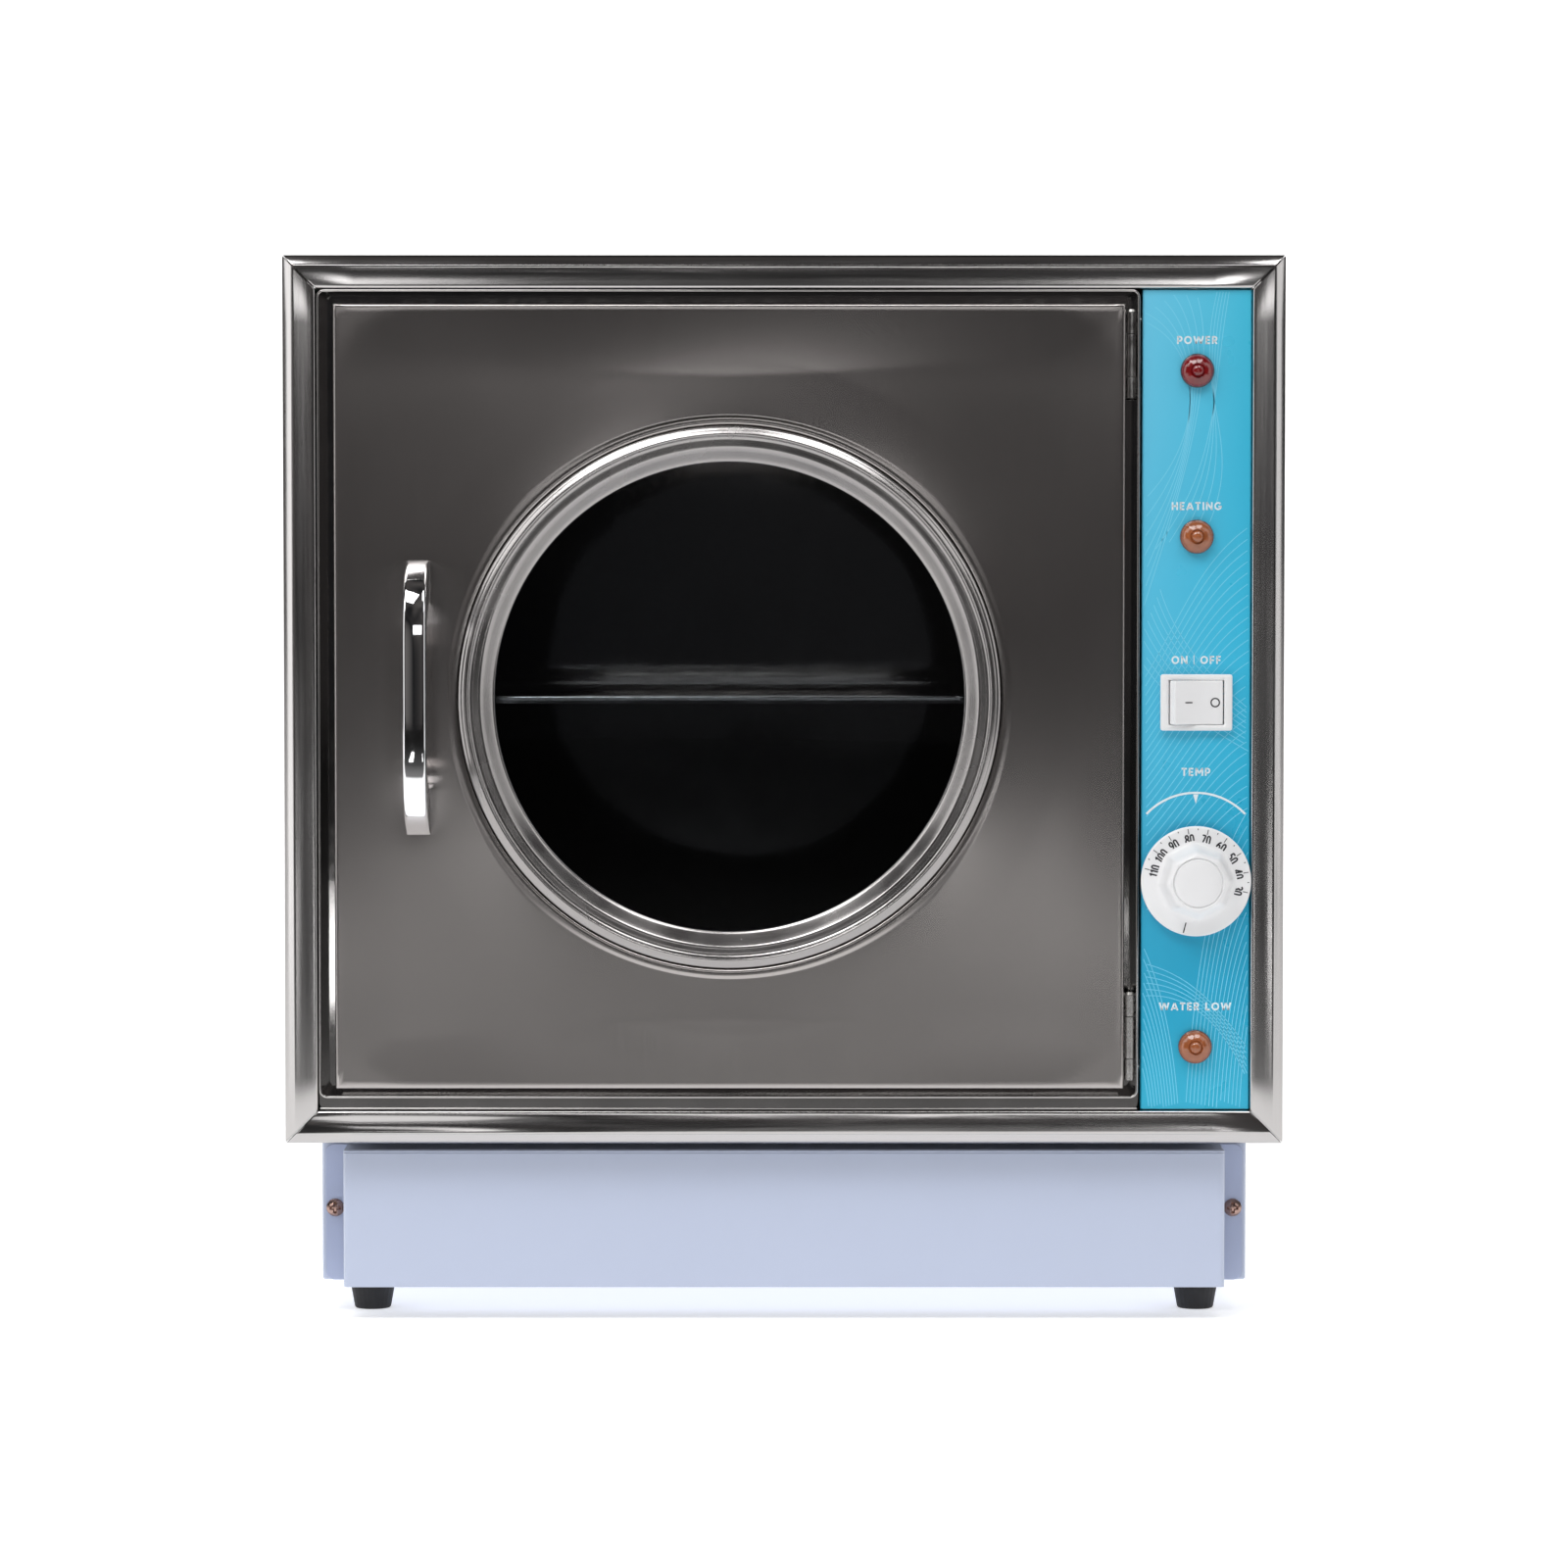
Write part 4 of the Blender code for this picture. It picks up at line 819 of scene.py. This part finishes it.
def turned_figure(rows, centre, sides, turn, segments):
    """A solid turned about the depth axis from (radius, depth, share) rows, in millimetres.

    The share runs from 0 for a round row to 1 for one with flat sides and slightly rounded corners.
    """
    step = 360 / sides
    loops = []
    for radius, depth, share in rows:
        loop = []
        for i in range(segments):
            angle = 360 * i / segments
            off = (angle - turn + step / 2) % step - step / 2
            side = math.cos(math.radians(step / 2)) / math.cos(math.radians(step / 2 - abs(off)))
            r = radius * (1 - share + share * min(side, 0.988)) * MM
            a = math.radians(angle)
            loop.append(centre + Vector((r * math.cos(a), depth * MM, r * math.sin(a))))
        loops.append(loop)
    return lofted(loops)


def lamp_lens(name, colour):
    """A domed lens with a collar in a darker copy of the lens colour, painted shade on its steep edge, a
    faceted skirt and a small tip.
    """
    box = Span(f"{name}_lamp_lens")
    centre = Vector((box.mid.x, box.high.y, box.mid.z))
    collar = [(7.0, 0.0, 0), (7.5, -0.15, 0), (7.55, -0.9, 0), (7.3, -1.5, 0), (6.9, -1.75, 0)]
    dome = [(6.6, -1.2, 0), (7.0, -1.9, 0), (6.75, -2.5, 0.3), (6.0, -3.3, 1), (4.6, -4.3, 1),
            (3.5, -4.75, 1), (3.05, -4.6, 0), (2.8, -4.3, 0), (2.6, -4.6, 0), (2.45, -5.3, 0), (2.1, -5.9, 0),
            (1.5, -6.35, 0), (0.8, -6.6, 0), (0.2, -6.65, 0)]
    slot = f"{colour}_lens"
    # The collar wears the darker copy of the lens colour: painted shade on the lens's steep edge.
    piece(f"{name}_lens_collar", turned_figure(collar, centre, 12, 0, 72), f"{colour}_rim", "cabinet",
          50)
    piece(f"{name}_lens", turned_figure(dome, centre, 12, 8, 72), slot, "cabinet", 22,
          [f"{name}_lamp_lens"])


def dial_centre():
    """The middle of the dial's rear face."""
    box = Span("temperature_knob")
    return Vector((box.mid.x, box.high.y, box.mid.z))


def knob():
    """The thermostat dial with its eight-sided grip and round cap."""
    skirt = [(24.0, 0.0, 0), (24.5, -0.4, 0), (24.6, -1.0, 0), (24.45, -1.5, 0), (23.9, -1.85, 0),
             (20.0, -2.35, 0)]
    grip = [(18.4, -2.7, 0), (17.6, -3.05, 0.4), (17.1, -3.8, 0.9), (16.6, -5.4, 1), (15.9, -8.5, 1),
            (15.2, -12.0, 1), (14.5, -14.2, 1), (13.4, -15.6, 1), (12.4, -16.15, 0.9), (11.7, -16.3, 0.4)]
    cap = [(11.3, -16.25, 0), (11.1, -16.0, 0), (10.95, -15.6, 0), (10.7, -15.6, 0), (10.5, -16.15, 0),
           (9.8, -16.45, 0), (6.0, -16.75, 0), (2.5, -16.85, 0)]
    piece("dial_knob", turned_figure(skirt + grip + cap, dial_centre(), 8, 4, 160), "white_plastic", "knob",
          24, ["temperature_knob"])


def switch():
    """The switch's bezel with a raised rim, the block behind it, and the softly rounded rocker in it."""
    box = Span("switch_housing")
    seat = Span("control_panel").low.y - 0.3 * MM
    rows = (  # half width, half height, corner radius, depth: millimetres
        (13.9, 10.5, 0.5, 0.0), (15.9, 12.45, 1.1, 0.0), (16.0, 12.55, 1.2, -0.4), (16.0, 12.55, 1.2, -1.6),
        (15.8, 12.35, 1.1, -2.1), (15.3, 11.85, 0.9, -2.35), (14.2, 11.2, 0.9, -2.5), (13.3, 10.7, 0.8, -2.5),
        (12.7, 10.25, 0.6, -2.35), (12.32, 9.94, 0.45, -1.9), (12.3, 9.92, 0.45, 11.0),
        (13.9, 10.5, 0.5, 11.0),
    )
    rings = []
    for half_x, half_z, radius, depth in rows:
        loop = rounded_loop(half_x * MM, half_z * MM, radius * MM)
        rings.append([(box.mid.x + x, seat + depth * MM, box.mid.z + z) for x, z in loop])
    piece("switch_bezel", torus_mesh(rings), "white_plastic", "cabinet", 40,
          ["switch_housing"])

    body = Vector((13.8, 0, 10.4)) * MM
    tab = Vector((0.4, 0, 2.4)) * MM
    bm = bmesh.new()
    front, rear = Vector((box.mid.x, seat + 10.5 * MM, box.mid.z)), box.high.y - 9.0 * MM
    add_block(bm, front - body, Vector((front.x, rear, front.z)) + body)
    for side in (-7.5, 0.0, 7.5):
        start = Vector((box.mid.x + side * MM, rear - 0.5 * MM, box.mid.z))
        add_block(bm, start - tab, Vector((start.x, box.high.y, start.z)) + tab)
    piece("switch_block", bm, "white_plastic", "cabinet")

    bm = bmesh.new()
    bm.from_mesh(NODES["switch_rocker"].data)
    bmesh.ops.remove_doubles(bm, verts=bm.verts, dist=1e-6)
    bmesh.ops.dissolve_limit(bm, angle_limit=math.radians(2), verts=bm.verts, edges=bm.edges)
    cap = piece("rocker_cap", bm, "white_plastic", "rocker", 30, ["switch_rocker"])
    soften(cap, 0.4 * MM, 25, 3)


# Lettering

# A plain geometric stroke alphabet. Each glyph has its width and its strokes, in heights of a capital letter.
# A stroke is a list of points, or ("arc", centre x, centre y, radius x, radius y, start, stop).
STEM = [(0.1, 0), (0.1, 1)]
CAPITALS = {
    "A": (0.92, [[(0.06, 0), (0.43, 0.93)], [(0.49, 0.93), (0.86, 0)], [(0.2, 0.27), (0.72, 0.27)]]),
    "E": (0.62, [STEM, [(0.1, 0.91), (0.6, 0.91)], [(0.1, 0.5), (0.55, 0.5)], [(0.1, 0.09), (0.6, 0.09)]]),
    "F": (0.6, [STEM, [(0.1, 0.91), (0.59, 0.91)], [(0.1, 0.47), (0.54, 0.47)]]),
    "G": (0.96, [("arc", 0.48, 0.5, 0.39, 0.41, 45, 352), [(0.52, 0.45), (0.95, 0.45)]]),
    "H": (0.8, [STEM, [(0.7, 0), (0.7, 1)], [(0.1, 0.5), (0.7, 0.5)]]),
    "I": (0.22, [[(0.11, 0), (0.11, 1)]]),
    "L": (0.58, [STEM, [(0.1, 0.09), (0.57, 0.09)]]),
    "M": (1.02, [STEM, [(0.92, 0), (0.92, 1)], [(0.14, 0.95), (0.51, 0.3)], [(0.88, 0.95), (0.51, 0.3)]]),
    "N": (0.84, [STEM, [(0.74, 0), (0.74, 1)], [(0.14, 0.93), (0.7, 0.07)]]),
    "O": (0.98, [("arc", 0.49, 0.5, 0.4, 0.41, 0, 360)]),
    "P": (0.68, [STEM, [(0.1, 0.91), (0.36, 0.91)], ("arc", 0.36, 0.65, 0.24, 0.26, 90, -90),
                 [(0.36, 0.39), (0.1, 0.39)]]),
    "R": (0.72, [STEM, [(0.1, 0.91), (0.36, 0.91)], ("arc", 0.36, 0.67, 0.23, 0.24, 90, -90),
                 [(0.36, 0.43), (0.1, 0.43)], [(0.34, 0.42), (0.62, 0.0)]]),
    "T": (0.7, [[(0, 0.91), (0.7, 0.91)], [(0.35, 0), (0.35, 0.9)]]),
    "W": (1.3, [[(0.06, 1), (0.34, 0.05)], [(0.34, 0.05), (0.63, 0.95)], [(0.67, 0.95), (0.96, 0.05)],
                [(0.96, 0.05), (1.24, 1)]]),
    "|": (0.1, [[(0.05, -0.08), (0.05, 1.08)]]),
}
FIGURES = {
    "0": (0.52, [("arc", 0.26, 0.7, 0.18, 0.24, 0, 180), [(0.08, 0.7), (0.08, 0.3)],
                 ("arc", 0.26, 0.3, 0.18, 0.24, 180, 360), [(0.44, 0.3), (0.44, 0.7)]]),
    "1": (0.36, [[(0.25, 0), (0.25, 1)], [(0.25, 0.94), (0.06, 0.76)]]),
    "3": (0.5, [("arc", 0.23, 0.72, 0.18, 0.21, 160, -90), ("arc", 0.23, 0.27, 0.2, 0.23, 90, -160)]),
    "4": (0.54, [[(0.36, 0), (0.36, 1)], [(0.34, 0.94), (0.07, 0.27)], [(0.04, 0.25), (0.52, 0.25)]]),
    "5": (0.5, [[(0.44, 0.93), (0.1, 0.93)], [(0.11, 0.95), (0.09, 0.52)],
                ("arc", 0.23, 0.31, 0.2, 0.26, 125, -155)]),
    "6": (0.5, [("arc", 0.25, 0.29, 0.18, 0.24, 0, 360), ("arc", 0.47, 0.29, 0.4, 0.64, 180, 112)]),
    "7": (0.48, [[(0.03, 0.93), (0.44, 0.93)], [(0.42, 0.93), (0.17, 0)]]),
    "8": (0.5, [("arc", 0.25, 0.74, 0.16, 0.2, 0, 360), ("arc", 0.25, 0.27, 0.19, 0.22, 0, 360)]),
    "9": (0.5, [("arc", 0.25, 0.71, 0.18, 0.24, 0, 360), ("arc", 0.03, 0.71, 0.4, 0.64, 0, -68)]),
}


def strip(points, width):
    """A line of constant width through 2-D points, as a flat mesh."""
    verts, faces = [], []
    for i, p in enumerate(points):
        before, after = points[max(i - 1, 0)], points[min(i + 1, len(points) - 1)]
        run = (Vector(after) - Vector(before)).normalized()
        side = Vector((-run.y, run.x)) * width / 2
        verts += [Vector(p) + side, Vector(p) - side]
        if i:
            k = 2 * i
            faces.append((k - 2, k - 1, k + 1, k))
    return verts, faces


SPACE = 0.3  # a word space's width, in heights of a capital letter
THIN = 0.09  # the dividing bar's weight
ARC_STEP = 15  # degrees


def word_strips(word, glyphs, height, weight, spacing, slim):
    """A word's strokes as flat strips, centred on its middle. Weight and spacing are shares of the height."""
    total = sum(SPACE if c == " " else glyphs[c][0] * slim for c in word) + spacing * (len(word) - 1)
    pen = -total / 2
    strips = []
    for c in word:
        if c == " ":
            pen += SPACE + spacing
            continue
        width, strokes = glyphs[c]
        for stroke in strokes:
            if stroke[0] == "arc":
                _, cx, cy, rx, ry, start, stop = stroke
                steps = max(6, round(abs(stop - start) / ARC_STEP))
                stroke = [(cx + rx * u, cy + ry * v) for u, v in arc((0, 0), 1, start, stop, steps)]
            points = [((pen + x * slim) * height, (y - 0.5) * height) for x, y in stroke]
            strips.append(strip(points, (THIN if c == "|" else weight) * height))
        pen += width * slim + spacing
    return strips


def add_flat(bm, verts, faces, place, lift):
    """Adds a flat figure as a solid: place puts a 2-D point on the surface, and lift is its thickness."""
    made = [bm.verts.new(place(v)) for v in verts]
    top = [bm.faces.new([made[i] for i in face]) for face in faces]
    out = bmesh.ops.extrude_face_region(bm, geom=top)
    moved = [g for g in out["geom"] if isinstance(g, bmesh.types.BMVert)]
    bmesh.ops.translate(bm, verts=moved, vec=lift)


def curve_point(curve, t):
    """A point on a cubic curve with four control points."""
    a, b, c, d = curve
    weights = ((1 - t) ** 3, 3 * t * (1 - t) ** 2, 3 * t * t * (1 - t), t**3)
    return sum((Vector(p) * w for p, w in zip((a, b, c, d), weights)), Vector((0, 0)))


def panel_lines():
    """Sheaves of thin curved lines on the control strip. Each sheaf blends from one curve to another."""
    box = Span("control_panel")
    face, width, height = box.low.y - 0.002 * MM, box.size.x / MM, box.size.z / MM
    sheaves = (  # lines, first curve, last curve: millimetres from the strip's lower left corner
        (7, ((-3, 352), (26, 344), (32, 300), (-3, 268)), ((22, 368), (38, 330), (12, 262), (-3, 212))),
        (5, ((34, 368), (20, 318), (46, 300), (30, 262)), ((39, 368), (30, 320), (36, 290), (6, 250))),
        (26, ((51, 262), (24, 246), (16, 214), (-3, 186)), ((51, 136), (36, 132), (20, 104), (-3, 84))),
        (9, ((8, 232), (16, 206), (34, 190), (51, 176)), ((-3, 204), (12, 180), (30, 170), (51, 158))),
        (15, ((51, 138), (34, 118), (24, 70), (20, -3)), ((51, 54), (47, 40), (45, 20), (44, -3))),
        (11, ((-3, 80), (8, 62), (15, 30), (17, -3)), ((-3, 30), (1, 20), (3, 10), (4, -3))),
        (6, ((-3, 66), (20, 62), (34, 48), (51, 22)), ((-3, 50), (18, 54), (38, 42), (51, 4))),
    )
    side_margin, end_margin = 0.8, 0.5
    steps = 36
    lift = Vector((0, -0.012 * MM, 0))
    bm = bmesh.new()
    for count, first, last in sheaves:
        for k in range(count):
            run = []
            for i in range(steps + 1):
                p = curve_point(first, i / steps).lerp(curve_point(last, i / steps), k / (count - 1))
                inside = side_margin < p.x < width - side_margin and end_margin < p.y < height - end_margin
                if inside:
                    run.append(p * MM)
                if len(run) > 1 and (i == steps or not inside):
                    line = strip(run, 0.34 * MM)
                    add_flat(bm, *line, lambda v: Vector((box.low.x + v.x, face, box.low.z + v.y)), lift)
                if not inside:
                    run = []
    piece("panel_lines", bm, "line_ink", "cabinet")


def panel_lettering():
    """The function words, and the curve and pointer above the dial."""
    face = Span("control_panel").low.y - 0.02 * MM
    lift = Vector((0, -0.05 * MM, 0))
    dial = dial_centre()
    words = (  # word, what it stands above, how far above its middle in millimetres
        ("POWER", Span("power_lamp_lens").mid, 13.6),
        ("HEATING", Span("heating_lamp_lens").mid, 13.6),
        ("ON | OFF", Span("switch_housing").mid, 18.9),
        ("TEMP", dial, 48.6),
        ("WATER LOW", Span("water_lamp_lens").mid, 18.0),
    )
    bm = bmesh.new()
    for word, centre, above in words:
        for letter in word_strips(word, CAPITALS, 3.5 * MM, 0.21, 0.24, 0.97):
            add_flat(bm, *letter, lambda v: Vector((centre.x + v.x, face, centre.z + above * MM + v.y)), lift)

    def on_panel(v):
        return Vector((v.x, face, v.y))

    middle = (dial.x, dial.z + 9.0 * MM)
    add_flat(bm, *strip(arc(middle, 30.3 * MM, 136.5, 43.5, 40), 0.95 * MM), on_panel, lift)
    half, length = 1.2 * MM, 4.2 * MM
    top = middle[1] + 29.6 * MM
    pointer = [Vector((dial.x - half, top)), Vector((dial.x, top - length)), Vector((dial.x + half, top))]
    add_flat(bm, pointer, [(0, 1, 2)], on_panel, lift)
    piece("panel_lettering", bm, "white_ink", "cabinet")


def dial_marks():
    """The dial's numbers and ticks, laid on its sloping rim."""
    centre = dial_centre()
    lift = Vector((0, -0.04 * MM, 0))
    bm = bmesh.new()

    def onto(x, z):
        """The place just above the dial's face: its rim slopes gently outside 20 mm, and more inside."""
        r = math.hypot(x, z) / MM
        depth = -1.85 - 0.5 * (23.9 - r) / 3.9 if r > 20 else -2.35 - 0.35 * (20 - r) / 1.8
        return centre + Vector((x, (depth - 0.05) * MM, z))

    def add_along(degrees, figure, radius):
        """Adds a figure at a radius in millimetres, upright as seen from the centre."""
        out = Vector((math.cos(math.radians(degrees)), math.sin(math.radians(degrees))))
        right = Vector((out.y, -out.x))

        def place(v):
            p = out * (radius * MM + v.y) + right * v.x
            return onto(p.x, p.y)

        add_flat(bm, *figure, place, lift)

    def tick(heights, width):
        return strip([(0, h * MM) for h in heights], width * MM)

    first, step, count = -12.4, 22.3, 9
    for i in range(count):
        angle = first + step * i
        for stroke in word_strips(str(30 + 10 * i), FIGURES, 4.1 * MM, 0.17, 0.07, 0.92):
            add_along(angle, stroke, 19.0)
        add_along(angle, tick((-1.0, 0.0, 1.3), 0.32), 22.3)
        if i < count - 1:
            add_along(angle + step / 2, tick((-0.35, 0.35), 0.36), 23.2)
    add_along(256.2, tick((-2.4, -0.8, 0.8, 2.4), 0.5), 21.3)
    piece("dial_marks", bm, "black_ink", "knob")


def rocker_marks():
    """A bar and a ring printed on the rocker's two sloping faces."""
    cad = NODES["switch_rocker"].data
    middle = Span("switch_housing").mid
    front = [p for p in cad.polygons if p.normal.y < -0.8]
    lift = Vector((0, -0.04 * MM, 0))

    def onto(x, z):
        """The place just in front of the frontmost sloping face at x."""
        depths = []
        slack = 1e-6
        for p in front:
            corners = [cad.vertices[i].co for i in p.vertices]
            if min(c.x for c in corners) - slack <= x <= max(c.x for c in corners) + slack:
                n, c = p.normal, corners[0]
                depths.append(c.y - (n.x * (x - c.x) + n.z * (z - c.z)) / n.y)
        return Vector((x, min(depths) - 0.03 * MM, z))

    bm = bmesh.new()
    bar = strip([(-1.65 * MM, 0), (1.65 * MM, 0)], 0.55 * MM)
    add_flat(bm, *bar, lambda v: onto(middle.x - 3.5 * MM + v.x, middle.z + v.y), lift)
    loop = arc((0, 0), 1.85 * MM, 0, 350, 35)
    verts = [Vector(p) * s for p in loop for s in (1.16, 0.84)]
    count = len(verts)
    faces = [(i, i + 1, (i + 3) % count, (i + 2) % count) for i in range(0, count, 2)]
    add_flat(bm, verts, faces, lambda v: onto(middle.x + 8.3 * MM + v.x, middle.z + v.y), lift)
    piece("rocker_marks", bm, "black_ink", "rocker")


# Studio

FLOOR_HALF = 7.0
BEND = 3.6  # where the floor starts to curve up into the backdrop
SIDE_TARGET = (0.0, -0.1, 0.25)
CAMERA_DISTANCE = 2.4  # from the door's frontmost plane
CAMERA_HEIGHT = 0.353
CAMERA_TILT = 87.353  # degrees, where 90 is level


def floor_paint():
    """White under and behind the object, falling to dark grey in front of it."""
    s = Surface((0.86, 0.86, 0.86), 0.9, 0.0, Emission_Strength=1.0)
    s.material.name = "studio_floor"
    fade = s.remap(s.axis("Y"), 0.0, 0.12, -1.5, -0.88)
    near = s.maths("ADD", fade, s.remap(s.axis("Y"), 0.0, 0.88, -0.88, -0.79))
    white = s.mix(s.noise(3, 2.0), (0.85, 0.85, 0.85), (0.87, 0.87, 0.87))
    s.set("Base Color", s.mix(near, (0.05, 0.05, 0.05), white))
    glow = s.mix(s.remap(s.axis("Y"), 0.0, 1.0, 1.0, 3.0), (0.55, 0.55, 0.55), (1.0, 1.0, 1.0))
    s.set("Emission Color", s.mix(near, (0.0, 0.0, 0.0), glow))
    return s.material


def studio_floor():
    """A floor that curves up into a backdrop."""
    section = [(-FLOOR_HALF, 0.0), (BEND, 0.0)]
    section += arc((BEND, 1.0), 1.0, -80, 0, 8)
    section.append((BEND + 1.0, 6.0))
    bm = bmesh.new()
    rows = [[bm.verts.new((x, y, z)) for y, z in section] for x in (-FLOOR_HALF, FLOOR_HALF)]
    for i in range(len(section) - 1):
        bm.faces.new((rows[0][i], rows[0][i + 1], rows[1][i + 1], rows[1][i]))
    mesh = bpy.data.meshes.new("studio_floor")
    bm.to_mesh(mesh)
    bm.free()
    mesh.shade_smooth()
    mesh.materials.append(floor_paint())
    add_object("studio_floor", mesh)


def lights():
    """Soft keys above, cards beside and in front for the steel to reflect, and a glow inside the chamber."""
    rows = (  # name, place, target, width, height, power
        ("key_left", (-0.75, -1.25, 2.1), (0.0, -0.1, 0.2), 1.3, 0.8, 25.0),
        ("key_right", (0.65, -1.15, 2.1), (0.0, -0.1, 0.2), 0.9, 0.7, 12.0),
        ("side_left", (-2.3, -0.75, 0.75), SIDE_TARGET, 0.8, 1.6, 7.0),
        ("side_right", (2.4, -0.75, 0.8), SIDE_TARGET, 0.8, 1.5, 4.5),
        ("top_left", (-1.65, -1.1, 1.55), SIDE_TARGET, 0.8, 0.8, 5.0),
        ("top_right", (1.65, -1.05, 1.55), SIDE_TARGET, 0.8, 0.8, 3.0),
        ("far_left", (-0.43, -2.2, 0.01), (-0.43, -2.2, 1.0), 0.24, 1.0, 2.4),
        ("far_right", (0.44, -2.1, 0.01), (0.44, -2.1, 1.0), 0.24, 0.9, 3.4),
        ("chamber_glow", (-0.02, -0.13, 0.42), (-0.02, 0.1, 0.2), 0.16, 0.02, 0.025),
        ("high_front", (0.0, -3.3, 0.88), (0.0, -0.17, 0.4), 0.9, 0.36, 2.2),
    )
    for name, place, target, width, height, power in rows:
        light = bpy.data.lights.new(name, "AREA")
        light.shape = "RECTANGLE"
        light.size, light.size_y = width, height
        light.energy = power
        obj = add_object(name, light)
        obj.location = place
        obj.rotation_euler = (Vector(target) - Vector(place)).to_track_quat("-Z", "Y").to_euler()


def surround():
    """A dim cloudy surround with a soft glow in front on the left, for the steel to reflect."""
    world = bpy.data.worlds.new("surround")
    nodes = Nodes(world)
    cloud = nodes.add("TexNoise", Scale=2.3, Detail=1.0).outputs[0]
    clouds = nodes.ramp(cloud, ((0.42, (0.016, 0.016, 0.017)), (0.7, (0.09, 0.083, 0.08))))
    toward = nodes.add("VectorMath", operation="DOT_PRODUCT")
    nodes.fill(toward.inputs[0], nodes.add("TexCoord").outputs["Generated"])
    nodes.fill(toward.inputs[1], Vector((-0.41, -0.91, 0.0)).normalized())
    share = nodes.remap(toward.outputs["Value"], 0.0, 1.0, 0.945, 1.0)
    glow = nodes.mix(share, clouds, (0.15, 0.142, 0.138))
    nodes.fill(nodes.tree.nodes["Background"].inputs["Color"], glow)
    bpy.context.scene.world = world


def camera():
    """The camera, facing the front from a little above its middle."""
    data = bpy.data.cameras.new("camera")
    data.lens = 123.93
    data.sensor_width = 36.0
    data.clip_end = 50.0
    obj = add_object("camera", data)
    obj.location = (0.0, DOOR.high.y - DOOR_DEPTH - CAMERA_DISTANCE, CAMERA_HEIGHT)
    obj.rotation_euler = (math.radians(CAMERA_TILT), 0.0, 0.0)
    bpy.context.scene.camera = obj


camera()
studio_floor()
lights()
surround()
bpy.context.scene.view_settings.view_transform = "Standard"
frame_rails()
recess_lip()
door_sheet()
window_ring()
window()
handle()
shelf_hem()
base_cover()
cover_screws()
rear_details()
lamp_lens("power", "red")
lamp_lens("heating", "amber")
lamp_lens("water", "amber")
knob()
panel_lines()
panel_lettering()
dial_marks()
switch()
rocker_marks()
